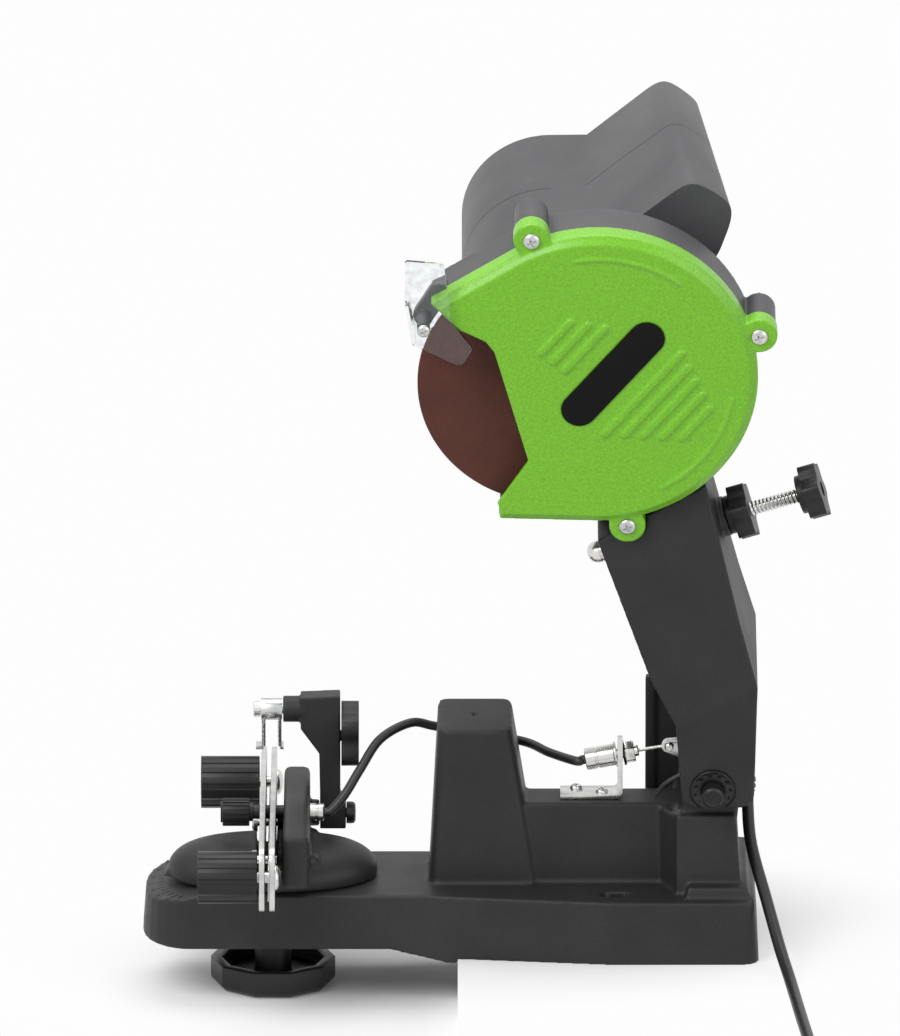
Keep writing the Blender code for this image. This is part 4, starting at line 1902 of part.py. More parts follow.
def strain_relief():
    profile = ((CORD_RADIUS + GAP, 0), (RELIEF_RADIUS, 0), (RELIEF_RADIUS,
               RELIEF_LENGTH / 2), (RELIEF_TIP_RADIUS, RELIEF_LENGTH),
               (CORD_RADIUS + GAP, RELIEF_LENGTH))
    return piece("strain_relief", turned(profile, cord_way(), Vector(CORD_ROUTE[0])
                                         + cord_way() * GAP, 16, closed=True), RUBBER)


def cord_points():
    return smooth_path(CORD_ROUTE, 3)


def cord_stretch():
    return piece("cord_stretch", tube(cord_points(), CORD_RADIUS, 1), RUBBER)


def coil_points():
    """Two flat layers: spiral in on the floor, climb, spiral out on top."""
    x_end, y_end, z_end = CORD_ROUTE[-1]
    outer = COIL_MIDDLE_RADIUS + COIL_PITCH * COIL_TURNS / 2
    inner = outer - COIL_PITCH * COIL_TURNS
    centre = Vector((x_end - outer, y_end - 2 * CORD_RADIUS - GAP))
    lead = Vector((x_end, y_end - GAP, z_end))
    points = [lead]
    layer = int(COIL_TURNS * COIL_STEPS)
    climb = COIL_STEPS // 2
    total = 2 * layer + climb
    for i in range(total + 1):
        angle = -2 * math.pi * i / COIL_STEPS
        if i <= layer:
            radius = outer - COIL_PITCH * i / COIL_STEPS
            height = 0.0
        elif i <= layer + climb:
            share = (i - layer) / climb
            radius = inner - COIL_DIP * math.sin(math.pi * share)
            height = COIL_LAYER * (0.5 - 0.5 * math.cos(math.pi * share))
        else:
            radius = inner + COIL_PITCH * (i - layer - climb) / COIL_STEPS
            height = COIL_LAYER
        points.append(Vector((centre.x + radius * math.cos(angle),
                              centre.y + radius * math.sin(angle), z_end + height)))
    last = points[-1]
    points.append(last - X_AXIS * CORD_RADIUS * 3)
    points.append(last - X_AXIS * CORD_RADIUS * TAIL_DIAMETERS)
    return points


def least_gap(points, radius):
    """The least distance of a tube to itself, and its length."""
    lengths = [0.0]
    for a, b in zip(points, points[1:]):
        lengths.append(lengths[-1] + (b - a).length)
    least = lengths[-1]
    for i, a in enumerate(points):
        for j in range(i + 1, len(points)):
            if lengths[j] - lengths[i] > 8 * radius:
                least = min(least, (points[j] - a).length - 2 * radius)
    return least, lengths[-1]


def cord_coil():
    points = coil_points()
    gap, coil_length = least_gap(points, CORD_RADIUS)
    stretch_length = least_gap(cord_points(), CORD_RADIUS)[1]
    print("coil gap mm", round(gap * 1000, 2), "cord length m",
          round(coil_length + stretch_length, 3))
    return piece("cord_coil", tube(points, CORD_RADIUS, 1), RUBBER)


def plug():
    """Flat two-pin plug lying at the end of the coil."""
    end = coil_points()[-1]
    start = end.x - GAP
    half = PLUG_THICKNESS / 2
    neck = PLUG_RADIUS * PLUG_NECK_SHARE
    plan = [(start, end.y - neck), (start, end.y + neck),
            (start - PLUG_LENGTH / 2, end.y + PLUG_RADIUS),
            (start - PLUG_LENGTH, end.y + PLUG_RADIUS),
            (start - PLUG_LENGTH, end.y - PLUG_RADIUS),
            (start - PLUG_LENGTH / 2, end.y - PLUG_RADIUS)]
    body = piece("mains_plug", outline([plan], end.z - half, end.z + half), RUBBER)
    for side in (-1, 1):
        y = end.y + side * PLUG_PIN_HALF_SPACING
        join(body, tool("plug_pin", rod(PLUG_PIN_RADIUS, PLUG_PIN_LENGTH + OVERRUN, -X_AXIS,
                                        (start - PLUG_LENGTH + OVERRUN, y, end.z), 12)))
    return body


def build_head(frame):
    arm_body(frame)
    arm_bracket(frame)
    pivot_shaft(frame)
    pivot_washer(frame)
    torsion_spring(frame)
    cable_lever(frame)
    cable_nipple(frame)
    green_cover(frame)
    guard_housing(frame)
    label_plate(frame)
    eye_shield(frame)
    motor_front(frame)
    motor_rear(frame)
    switch_rocker(frame)
    stator(frame)
    carbon_brushes(frame)
    bearings(frame)


def build_spindle(frame):
    grinding_disc(frame)
    inner_flange(frame)
    outer_flange(frame)
    arbor_nut(frame)
    motor_shaft(frame)
    rotor_core(frame)
    commutator(frame)
    cooling_fan(frame)


def build_depth_stop(frame):
    stop_screw(frame)
    star_knob("jam_nut", frame, DEPTH_JAM_S - STAR_THICKNESS / 2)
    star_knob("depth_knob", frame, DEPTH_LENGTH - STAR_THICKNESS + OVERRUN)


def build_vise(frame):
    turntable(frame)
    jaw_rail("fixed_rail", frame, FIXED_RAIL_FRONT)
    jaw_rail("moving_rail", frame, FIXED_RAIL_FRONT - RAIL_SLOT - RAIL_THICKNESS)
    guide_strip(frame)
    guide_pins(frame)
    rail_bolts(frame)
    ridged_knob("near_rail_knob", frame, -RAIL_BOLT_Y)
    ridged_knob("far_rail_knob", frame, RAIL_BOLT_Y)
    tension_adjuster(frame)
    cable_ferrule(frame)
    stop_arm(frame)
    stop_bolt(frame)
    chain_pawl(frame)
    pawl_pin(frame)
    lobed_knob(frame)
    swivel_stud(frame)
    clamp_knob(frame)


def build_base(frame):
    base_casting(frame)
    cable_bracket()
    cable_barrel()
    lock_nut()
    inner_wire()
    cable_housing()


def build_cord():
    strain_relief()
    cord_stretch()
    cord_coil()
    plug()


def main():
    arm_frame = pivot_empty("arm_pivot", (PIVOT_X, 0, PIVOT_Z), ARM_TILT)
    spindle = pivot_empty("spindle_axis", (AXIS_X, 0, AXIS_W))
    spindle.parent = arm_frame
    depth = pivot_empty("depth_axis", depth_point(0))
    depth.parent = arm_frame
    depth.rotation_euler.y = math.pi / 2 - DEPTH_ANGLE
    vise = pivot_empty("vise_pivot", (VISE_X, 0, 0))
    bpy.context.view_layer.update()
    build_base(arm_frame)
    build_head(arm_frame)
    build_spindle(spindle)
    build_depth_stop(depth)
    build_vise(vise)
    build_cord()


main()
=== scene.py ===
"""Electric chainsaw sharpener: finishes, small fittings, cords, bench, lights and camera.

Metres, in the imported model's frame: the rear foot stands on the bench at Z 0, -X is the
vise end and +Y the motor's rear end. The grinding head is built in its own tilted plane,
with X and W (up) measured from the pivot shaft and V along it.
"""
import json
import math

import bpy
from mathutils import Matrix, Vector


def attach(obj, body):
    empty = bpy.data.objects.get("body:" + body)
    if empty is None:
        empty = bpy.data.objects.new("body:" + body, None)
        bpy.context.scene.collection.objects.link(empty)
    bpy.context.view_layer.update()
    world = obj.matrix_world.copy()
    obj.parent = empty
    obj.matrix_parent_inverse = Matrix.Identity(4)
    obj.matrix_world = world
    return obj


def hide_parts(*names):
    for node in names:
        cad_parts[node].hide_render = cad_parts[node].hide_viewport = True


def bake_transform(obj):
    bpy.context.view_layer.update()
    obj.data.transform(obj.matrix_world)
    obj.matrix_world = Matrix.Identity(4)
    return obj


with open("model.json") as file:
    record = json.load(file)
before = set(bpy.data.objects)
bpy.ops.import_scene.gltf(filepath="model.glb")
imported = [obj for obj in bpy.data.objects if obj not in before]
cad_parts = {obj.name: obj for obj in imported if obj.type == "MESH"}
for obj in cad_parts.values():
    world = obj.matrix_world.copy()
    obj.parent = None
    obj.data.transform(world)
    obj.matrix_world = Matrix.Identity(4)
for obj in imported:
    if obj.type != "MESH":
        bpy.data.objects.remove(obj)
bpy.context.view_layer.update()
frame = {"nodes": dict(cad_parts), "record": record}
NODES = frame["nodes"]
PIVOT = Vector((0.0562, 0, 0.1037))
HEAD_TILT = math.radians(10.5)
HEAD = Matrix.Translation(PIVOT) @ Matrix.Rotation(HEAD_TILT, 4, 'X')
SWIVEL_X = -0.182
VISE = Matrix.Translation((SWIVEL_X, 0, 0))
FACE_FRONT = Matrix.Rotation(math.pi / 2, 4, 'X')
TURN = 2 * math.pi


# Camera and cords

def place_camera():
    """The photograph's view: straight from the front, 17 degrees above the bench."""
    aim = Vector((-0.0858, 0, 0.2363))
    distance = 12.0
    rise = math.radians(17)
    bpy.ops.object.camera_add(
        location=aim + Vector((0, -math.cos(rise), math.sin(rise))) * distance,
        rotation=(math.pi / 2 - rise, 0, 0))
    camera = bpy.context.object
    camera.data.sensor_width = 36
    camera.data.lens = 36 * distance / 0.56
    bpy.context.scene.camera = camera


def rounded_path(points, steps):
    """A Catmull-Rom curve through the points."""
    places = [Vector(p) for p in points]
    ends = [2 * places[0] - places[1]] + places + [2 * places[-1] - places[-2]]
    path = []
    for i in range(1, len(ends) - 2):
        a, b, c, d = ends[i - 1:i + 3]
        for k in range(steps):
            t = k / steps
            path.append(0.5 * (2 * b + (c - a) * t + (2 * a - 5 * b + 4 * c - d) * t ** 2
                               + (3 * b - a - 3 * c + d) * t ** 3))
    path.append(places[-1])
    return path


def linked(name, data):
    """A new object in the scene with the given mesh or curve."""
    obj = bpy.data.objects.new(name, data)
    bpy.context.scene.collection.objects.link(obj)
    return obj


def wire(name, points, radius, resolution=6, radii=None):
    """A round wire or cord along points, as a curve with closed ends."""
    curve = bpy.data.curves.new(name, 'CURVE')
    curve.dimensions = '3D'
    curve.bevel_depth = radius
    curve.bevel_resolution = resolution
    curve.use_fill_caps = True
    spline = curve.splines.new('POLY')
    spline.points.add(len(points) - 1)
    for i, (point, place) in enumerate(zip(spline.points, points)):
        point.co = (*place, 1)
        point.radius = radii[i] if radii else 1.0
    spline.use_smooth = True
    return linked(name, curve)


CORD_RADIUS = 0.00325
CORD_ROUTE = (
    (0.0600, 0.0150, 0.0890), (0.0700, 0.0141, 0.0886), (0.0735, 0.0132, 0.0872),
    (0.0762, 0.0105, 0.0835), (0.0758, 0.0030, 0.0730), (0.0777, -0.0140, 0.0550),
    (0.0858, -0.0420, 0.0320), (0.0927, -0.0700, 0.0140), (0.0973, -0.0950, 0.0060),
    (0.1002, -0.1220, 0.0036), (0.1033, -0.1600, 0.0035), (0.1062, -0.1950, 0.0035),
    (0.1075, -0.2250, 0.0035), (0.1080, -0.2600, 0.0035))
COIL_RADIUS = 0.037
COIL_PITCH = 0.0072
COIL_TURNS = 2.875
COIL_STEPS = 24


def coil_path():
    """In on the bench in a flat spiral, up one layer, and out again on top of it."""
    x, y, z = CORD_ROUTE[-1]
    outer = COIL_RADIUS + COIL_PITCH * COIL_TURNS / 2
    inner = outer - COIL_PITCH * COIL_TURNS
    middle = Vector((x - outer, y - 2 * CORD_RADIUS - 0.0003))
    layer = int(COIL_TURNS * COIL_STEPS)
    climb = COIL_STEPS // 2
    path = []
    for i in range(2 * layer + climb + 1):
        angle = -TURN * i / COIL_STEPS
        share = min(max((i - layer) / climb, 0), 1)
        radius = (outer - COIL_PITCH * i / COIL_STEPS if i <= layer
                  else inner + COIL_PITCH * max(i - layer - climb, 0) / COIL_STEPS
                  - 0.0025 * math.sin(math.pi * share))
        lift = COIL_PITCH * (0.5 - 0.5 * math.cos(math.pi * share))
        path.append(Vector((middle.x + radius * math.cos(angle),
                            middle.y + radius * math.sin(angle), z + lift)))
    tail = path[-1]
    return path + [tail - Vector((CORD_RADIUS * 3, 0, 0)), tail - Vector((CORD_RADIUS * 8, 0, 0))]


place_camera()
COIL = coil_path()
mains_cord = wire("mains_cord", rounded_path(CORD_ROUTE, 6) + COIL, CORD_RADIUS, 4)
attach(mains_cord, "base")
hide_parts("cord_stretch", "cord_coil")


# Shared shader parts

def new_group(name, inputs, outputs):
    group = bpy.data.node_groups.new(name, 'ShaderNodeTree')
    for label, kind, value in inputs:
        socket = group.interface.new_socket(name=label, in_out='INPUT', socket_type=kind)
        socket.default_value = value
    for label, kind in outputs:
        group.interface.new_socket(name=label, in_out='OUTPUT', socket_type=kind)
    return group, group.nodes.new('NodeGroupInput'), group.nodes.new('NodeGroupOutput')


def node(tree, kind, values=(), links=(), **settings):
    """A shader node with its socket values and the outputs that feed it."""
    made = tree.nodes.new(kind)
    for key, value in settings.items():
        setattr(made, key, value)
    for socket, value in dict(values).items():
        made.inputs[socket].default_value = value
    for socket, source in dict(links).items():
        tree.links.new(source, made.inputs[socket])
    return made


def spread_group():
    """Turns a noise value into a number that varies about its middle."""
    group, start, end = new_group("vary_value", [
        ("Noise", 'NodeSocketFloat', 0.5), ("Middle", 'NodeSocketFloat', 0.5),
        ("Spread", 'NodeSocketFloat', 0.1)], [("Value", 'NodeSocketFloat')])
    centred = node(group, 'ShaderNodeMath', {1: 0.5}, {0: start.outputs["Noise"]},
                   operation='SUBTRACT')
    scaled = node(group, 'ShaderNodeMath', {}, {0: centred.outputs[0],
                  1: start.outputs["Spread"]}, operation='MULTIPLY')
    moved = node(group, 'ShaderNodeMath', {}, {0: scaled.outputs[0],
                 1: start.outputs["Middle"]}, operation='ADD', use_clamp=True)
    group.links.new(moved.outputs[0], end.inputs["Value"])
    return group


def surface_group(name, scale, depth, roughness, spread):
    """A group that takes two colours, a pattern and a roughness, and its Object place."""
    group, start, end = new_group(name, [
        ("Colour", 'NodeSocketColor', (0.1, 0.1, 0.1, 1)),
        ("Shade", 'NodeSocketColor', (0.05, 0.05, 0.05, 1)),
        ("Scale", 'NodeSocketFloat', scale), ("Depth", 'NodeSocketFloat', depth),
        ("Roughness", 'NodeSocketFloat', roughness), ("Spread", 'NodeSocketFloat', spread)],
        [("Colour", 'NodeSocketColor'), ("Roughness", 'NodeSocketFloat'),
         ("Normal", 'NodeSocketVector')])
    return group, start, end, node(group, 'ShaderNodeTexCoord').outputs["Object"]


def drifting_tone(group, start, noise, low, high):
    """The two colours mixed by a broad noise."""
    ramp = node(group, 'ShaderNodeMapRange', {"From Min": low, "From Max": high},
                {"Value": noise.outputs["Fac"]})
    return node(group, 'ShaderNodeMix', {}, {0: ramp.outputs[0],
                6: start.outputs["Colour"], 7: start.outputs["Shade"]}, data_type='RGBA')


def surface_ends(group, start, end, colour, wear, height):
    """Feeds a group's outputs from a colour, a noise for the wear and one for the bumps."""
    rough = node(group, 'ShaderNodeGroup', {}, {}, node_tree=VARY)
    for socket, source in (("Noise", wear.outputs["Fac"]),
                           ("Middle", start.outputs["Roughness"]),
                           ("Spread", start.outputs["Spread"])):
        group.links.new(source, rough.inputs[socket])
    bump = node(group, 'ShaderNodeBump', {"Strength": 1.0},
                {"Height": height.outputs["Fac"], "Distance": start.outputs["Depth"]})
    group.links.new(colour.outputs[2], end.inputs["Colour"])
    group.links.new(rough.outputs["Value"], end.inputs["Roughness"])
    group.links.new(bump.outputs["Normal"], end.inputs["Normal"])
    return group


def grain_group():
    """Moulded or painted grain: fine bumps, broad drifts of tone, light dust."""
    group, start, end, place = surface_group("fine_grain", 900.0, 0.00004, 0.5, 0.15)
    fine = node(group, 'ShaderNodeTexNoise', {"Detail": 3.0, "Roughness": 0.6},
                {"Vector": place, "Scale": start.outputs["Scale"]})
    broad = node(group, 'ShaderNodeTexNoise', {"Scale": 26.0, "Detail": 4.0},
                 {"Vector": place})
    tone = drifting_tone(group, start, broad, 0.36, 0.66)
    speck = node(group, 'ShaderNodeMapRange', {"From Min": 0.35, "From Max": 0.7,
                 "To Min": 0.82, "To Max": 1.14}, {"Value": fine.outputs["Fac"]})
    grainy = node(group, 'ShaderNodeMix', {0: 1.0}, {6: tone.outputs[2],
                  7: speck.outputs[0]}, data_type='RGBA', blend_type='MULTIPLY')
    return surface_ends(group, start, end, grainy, broad, fine)


def metal_group():
    """Plated or turned metal: drawn lines one way, cloudy plating, fine scratches."""
    group, start, end, place = surface_group("worked_metal", 900.0, 0.00001, 0.3, 0.2)
    drawn = node(group, 'ShaderNodeMapping', {"Scale": (1.0, 0.06, 1.0)}, {"Vector": place})
    lines = node(group, 'ShaderNodeTexNoise', {"Detail": 4.0},
                 {"Vector": drawn.outputs[0], "Scale": start.outputs["Scale"]})
    cloud = node(group, 'ShaderNodeTexNoise', {"Scale": 90.0, "Detail": 3.0, "Distortion": 0.6},
                 {"Vector": place})
    tone = drifting_tone(group, start, cloud, 0.38, 0.62)
    return surface_ends(group, start, end, tone, lines, lines)


VARY = spread_group()
GRAIN = grain_group()
METAL = metal_group()


# Finishes

def finish(name, group, colour, shade, scale, depth, roughness, spread, metallic=0.0,
           coat=0.0):
    """A Principled material whose colour, roughness and bump come from a shared group."""
    material = bpy.data.materials.new(name)
    material.use_nodes = True
    tree = material.node_tree
    shader = tree.nodes["Principled BSDF"]
    look = node(tree, 'ShaderNodeGroup', {}, {}, node_tree=group)
    values = [(*colour, 1), (*shade, 1), scale, depth, roughness, spread]
    for socket, value in zip(look.inputs, values):
        socket.default_value = value
    tree.links.new(look.outputs["Colour"], shader.inputs["Base Color"])
    tree.links.new(look.outputs["Roughness"], shader.inputs["Roughness"])
    tree.links.new(look.outputs["Normal"], shader.inputs["Normal"])
    shader.inputs["Metallic"].default_value = metallic
    shader.inputs["Coat Weight"].default_value = coat
    shader.inputs["Coat Roughness"].default_value = 0.25
    return material


def banded(material, axis, count_per_metre, dark, share):
    """Adds dark lines across an axis, for laminations and copper bars."""
    tree = material.node_tree
    shader = tree.nodes["Principled BSDF"]
    source = shader.inputs["Base Color"].links[0].from_socket
    place = node(tree, 'ShaderNodeTexCoord')
    parts = node(tree, 'ShaderNodeSeparateXYZ', {}, {0: place.outputs["Object"]})
    many = node(tree, 'ShaderNodeMath', {1: count_per_metre}, {0: parts.outputs[axis]},
                operation='MULTIPLY')
    tooth = node(tree, 'ShaderNodeMath', {}, {0: many.outputs[0]}, operation='FRACT')
    line = node(tree, 'ShaderNodeMath', {1: share}, {0: tooth.outputs[0]},
                operation='LESS_THAN')
    mixed = node(tree, 'ShaderNodeMix', {7: (*dark, 1)}, {0: line.outputs[0], 6: source},
                 data_type='RGBA')
    tree.links.new(mixed.outputs[2], shader.inputs["Base Color"])
    return material


def grit_disc():
    """Resin-bonded grinding disc: brown-red binder with paler and darker grains."""
    material = finish("bonded_grit", GRAIN, (0.110, 0.030, 0.018), (0.075, 0.021, 0.013),
                      1500.0, 0.00012, 0.82, 0.12)
    tree = material.node_tree
    shader = tree.nodes["Principled BSDF"]
    source = shader.inputs["Base Color"].links[0].from_socket
    place = node(tree, 'ShaderNodeTexCoord')
    cells = node(tree, 'ShaderNodeTexVoronoi', {"Scale": 1300.0},
                 {"Vector": place.outputs["Object"]})
    pale = node(tree, 'ShaderNodeMapRange', {"From Min": 0.02, "From Max": 0.16,
                "To Min": 0.5, "To Max": 0.0}, {"Value": cells.outputs["Distance"]})
    mixed = node(tree, 'ShaderNodeMix', {7: (0.30, 0.13, 0.09, 1)},
                 {0: pale.outputs[0], 6: source}, data_type='RGBA')
    tree.links.new(mixed.outputs[2], shader.inputs["Base Color"])
    return material


def clear_sheet():
    """Clear moulded shield with a faint haze and a few fine scratches."""
    material = finish("clear_sheet", GRAIN, (0.93, 0.95, 0.96), (0.88, 0.91, 0.93), 240.0,
                      0.000006, 0.05, 0.05)
    shader = material.node_tree.nodes["Principled BSDF"]
    shader.inputs["Transmission Weight"].default_value = 1.0
    shader.inputs["IOR"].default_value = 1.45
    return material


FINISHES = {
    "base_black": finish("cast_black", GRAIN, (0.024, 0.024, 0.025), (0.018, 0.018, 0.019),
                         1150.0, 0.00006, 0.50, 0.22),
    "grey_plastic": finish("motor_grey", GRAIN, (0.074, 0.074, 0.078), (0.061, 0.061, 0.065),
                           1600.0, 0.00007, 0.46, 0.16),
    "lime_plastic": finish("lime_cover", GRAIN, (0.205, 0.575, 0.018), (0.202, 0.570, 0.018),
                           900.0, 0.000002, 0.36, 0.06, coat=0.1),
    "knob_black": finish("knob_black", GRAIN, (0.018, 0.018, 0.019), (0.013, 0.013, 0.014),
                         1400.0, 0.00003, 0.38, 0.18),
    "rubber": finish("sheath_black", GRAIN, (0.012, 0.012, 0.012), (0.009, 0.009, 0.009),
                     2200.0, 0.00003, 0.42, 0.15),
    "carbon": finish("carbon_black", GRAIN, (0.020, 0.020, 0.020), (0.015, 0.015, 0.015),
                     2500.0, 0.00003, 0.6, 0.15),
    "label_gloss": finish("label_gloss", GRAIN, (0.004, 0.004, 0.004), (0.005, 0.005, 0.005),
                          300.0, 0.000002, 0.50, 0.06),
    "zinc": finish("zinc_plate", METAL, (0.66, 0.66, 0.64), (0.52, 0.53, 0.53), 1300.0,
                   0.00002, 0.28, 0.25, metallic=1.0),
    "steel": finish("bright_steel", METAL, (0.72, 0.71, 0.69), (0.58, 0.58, 0.57), 1800.0,
                    0.00001, 0.25, 0.2, metallic=1.0),
    "black_steel": finish("black_oxide", METAL, (0.035, 0.034, 0.034), (0.022, 0.022, 0.022),
                          1500.0, 0.00002, 0.40, 0.2, metallic=0.6),
    "laminations": banded(finish("laminated_steel", METAL, (0.50, 0.49, 0.47),
                                 (0.38, 0.38, 0.37), 900.0, 0.00002, 0.42, 0.2, metallic=1.0),
                          1, 1400.0, (0.06, 0.05, 0.05), 0.3),
    "copper": banded(finish("copper_bars", METAL, (0.72, 0.33, 0.18), (0.55, 0.24, 0.13),
                            900.0, 0.00002, 0.32, 0.2, metallic=1.0), 0, 420.0,
                     (0.03, 0.02, 0.02), 0.15),
    "abrasive": grit_disc(),
    "clear_shield": clear_sheet(),
}
for slot_name, level in (("label_gloss", 0.12), ("base_black", 0.32), ("knob_black", 0.32)):
    black = FINISHES[slot_name].node_tree.nodes["Principled BSDF"]
    black.inputs["Specular IOR Level"].default_value = level
SLOT_OF = {part["node"]: part["material_slot"] for part in frame["record"]["subparts"]}
for cad_name, cad_object in NODES.items():
    cad_object.data.materials.clear()
    cad_object.data.materials.append(FINISHES[SLOT_OF[cad_name]])


# Modelling steps

def settle(obj):
    """Leaves one object selected and active."""
    bpy.ops.object.select_all(action='DESELECT')
    obj.select_set(True)
    bpy.context.view_layer.objects.active = obj
    return obj


def edit(obj, *steps):
    """Runs mesh operators on the whole object in edit mode."""
    settle(obj)
    bpy.ops.object.mode_set(mode='EDIT')
    bpy.ops.mesh.select_all(action='SELECT')
    for step in steps:
        step()
    bpy.ops.object.mode_set(mode='OBJECT')
    return obj


def add_modifier(obj, kind, **settings):
    modifier = settle(obj).modifiers.new(kind.lower(), kind)
    for key, value in settings.items():
        setattr(modifier, key, value)
    bpy.ops.object.modifier_apply(modifier=modifier.name)
    return obj


def combined(obj, other, operation):
    """A Boolean with another piece, which is then removed."""
    add_modifier(obj, 'BOOLEAN', object=other, operation=operation, solver='EXACT')
    bpy.data.objects.remove(other, do_unlink=True)
    return obj


def cut(obj, *tools):
    for tool in tools:
        combined(obj, tool, 'DIFFERENCE')
    return obj


def fused(obj, *others):
    for other in others:
        combined(obj, other, 'UNION')
    return obj


def seated(obj, matrix):
    """Moves a piece to its place and clears its own transform."""
    obj.matrix_world = matrix @ obj.matrix_world
    settle(obj)
    bpy.ops.object.transform_apply(location=True, rotation=True, scale=True)
    return obj


def shaded(obj, angle=38):
    settle(obj)
    bpy.ops.object.shade_smooth_by_angle(angle=math.radians(angle))
    return obj


def dressed(obj, name, slot, body, *replaced):
    """Names a finished piece, paints it and lets it ride on its body."""
    obj.name = name
    obj.data.materials.clear()
    obj.data.materials.append(FINISHES[slot])
    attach(obj, body)
    if replaced:
        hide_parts(*replaced)
    return obj


def disc(radius, depth, sides=48):
    """A cylinder from Z 0 up."""
    bpy.ops.object.select_all(action='DESELECT')
    bpy.ops.mesh.primitive_cylinder_add(vertices=sides, radius=radius, depth=depth,
                                        location=(0, 0, depth / 2))
    return seated(bpy.context.object, Matrix())


def box(low, high):
    bpy.ops.object.select_all(action='DESELECT')
    middle = (Vector(low) + Vector(high)) / 2
    bpy.ops.mesh.primitive_cube_add(size=1, location=middle, scale=Vector(high) - Vector(low))
    return seated(bpy.context.object, Matrix())


def rounded(obj, width, segments=3, angle=30):
    return add_modifier(obj, 'BEVEL', width=width, segments=segments, limit_method='ANGLE',
                        angle_limit=math.radians(angle), use_clamp_overlap=True,
                        harden_normals=False)


def along(start, way):
    """The place of a piece made up +Z: at a start point, turned to a direction."""
    turn = Vector((0, 0, 1)).rotation_difference(Vector(way)).to_matrix().to_4x4()
    return Matrix.Translation(Vector(start)) @ turn


def node_copy(name):
    """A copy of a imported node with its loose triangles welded."""
    copy = linked(name + "_copy", NODES[name].data.copy())
    return edit(copy, lambda: bpy.ops.mesh.remove_doubles(threshold=0.000005),
                lambda: bpy.ops.mesh.dissolve_limited(angle_limit=math.radians(0.4)))


def softened(obj, voxel, passes, keep, frame_of=Matrix()):
    """Rounds every edge of a cast or moulded piece, inside corners too."""
    obj.data.transform(frame_of.inverted())
    add_modifier(obj, 'REMESH', mode='VOXEL', voxel_size=voxel, adaptivity=0.0)
    add_modifier(obj, 'SMOOTH', factor=0.5, iterations=passes)
    add_modifier(obj, 'DECIMATE', ratio=keep)
    obj.data.transform(frame_of)
    return shaded(obj, 60)


def flat(loops, low, high, edge=0.0, steps=2):
    """A flat outline with its holes as a plate from Z low to high, its edges rounded."""
    curve = bpy.data.curves.new("outline", 'CURVE')
    curve.dimensions = '2D'
    curve.fill_mode = 'BOTH'
    curve.extrude = (high - low) / 2 - edge
    curve.bevel_depth = edge
    curve.bevel_resolution = steps
    curve.offset = -edge
    for loop in loops:
        spline = curve.splines.new('POLY')
        spline.points.add(len(loop) - 1)
        for point, (x, y) in zip(spline.points, loop):
            point.co = (x, y, 0, 1)
        spline.use_cyclic_u = True
    plate = meshed(linked("outline", curve))
    return seated(plate, Matrix.Translation((0, 0, (low + high) / 2)))


def meshed(obj):
    """Turns a curve or text into a closed mesh with its faces out."""
    settle(obj)
    bpy.ops.object.convert(target='MESH')
    return closed(bpy.context.object)


def closed(obj):
    return edit(obj, lambda: bpy.ops.mesh.remove_doubles(threshold=0.000001),
                lambda: bpy.ops.mesh.normals_make_consistent(inside=False))


def profile_line(profile):
    """An open (radius, height) line beside the Z axis, as a mesh of edges."""
    curve = bpy.data.curves.new("profile", 'CURVE')
    curve.dimensions = '3D'
    spline = curve.splines.new('POLY')
    spline.points.add(len(profile) - 1)
    for point, (radius, height) in zip(spline.points, profile):
        point.co = (radius, 0, height, 1)
    settle(linked("profile", curve))
    bpy.ops.object.convert(target='MESH')
    return bpy.context.object


def turned(profile, matrix, sides=48, angle=38):
    """A turned piece from (radius, height) points, spun round Z and put in place."""
    obj = profile_line(profile)
    edit(obj, lambda: bpy.ops.mesh.spin(steps=sides, angle=TURN, center=(0, 0, 0),
                                        axis=(0, 0, 1), dupli=False))
    closed(obj)
    return shaded(seated(obj, matrix), angle)


def joined(pieces):
    """One mesh of several pieces."""
    bpy.ops.object.select_all(action='DESELECT')
    for obj in pieces:
        obj.select_set(True)
    bpy.context.view_layer.objects.active = pieces[0]
    bpy.ops.object.join()
    return bpy.context.object


def arc(centre, radius, start, end, steps):
    return [(centre[0] + radius * math.cos(start + (end - start) * i / steps),
             centre[1] + radius * math.sin(start + (end - start) * i / steps))
            for i in range(steps + 1)]


def circle(centre, radius, steps=48):
    return arc(centre, radius, 0, TURN, steps)[:-1]


def capsule(start, end, radius, steps=20):
    angle = math.atan2(end[1] - start[1], end[0] - start[0])
    return (arc(end, radius, angle - math.pi / 2, angle + math.pi / 2, steps)
            + arc(start, radius, angle + math.pi / 2, angle + 3 * math.pi / 2, steps))


def inset(points, distance):
    """A counter-clockwise outline moved inwards."""
    moved = []
    for i, point in enumerate(points):
        here = Vector(point)
        before = (here - Vector(points[i - 1])).normalized()
        after = (Vector(points[(i + 1) % len(points)]) - here).normalized()
        side = Vector((-before.y, before.x))
        middle = (side + Vector((-after.y, after.x))).normalized()
        moved.append(tuple(here + middle * distance / max(middle.dot(side), 0.4)))
    return moved


def head_plate(loops, near, far, edge=0.0, steps=2):
    """A plate in the tilted head's plane, from V near to far."""
    return seated(flat(loops, -far, -near, edge, steps), HEAD @ FACE_FRONT)


def head_rod(x, w, near, far, radius, sides=48):
    return seated(disc(radius, far - near, sides),
                  HEAD @ along((x, near, w), (0, 1, 0)))


SIDE_ON = Matrix(((0, 0, 1, 0), (1, 0, 0, 0), (0, 1, 0, 0), (0, 0, 0, 1)))


def vise_plate(loops, low, high, edge=0.0, steps=2):
    """A plate that faces along the vise's X axis."""
    return seated(flat(loops, low, high, edge, steps), VISE @ SIDE_ON)


def vise_turned(profile, x, y, z, way=1, sides=48):
    return turned(profile, VISE @ along((x, y, z), (way, 0, 0)), sides)


CROSS_TURN = 0.4


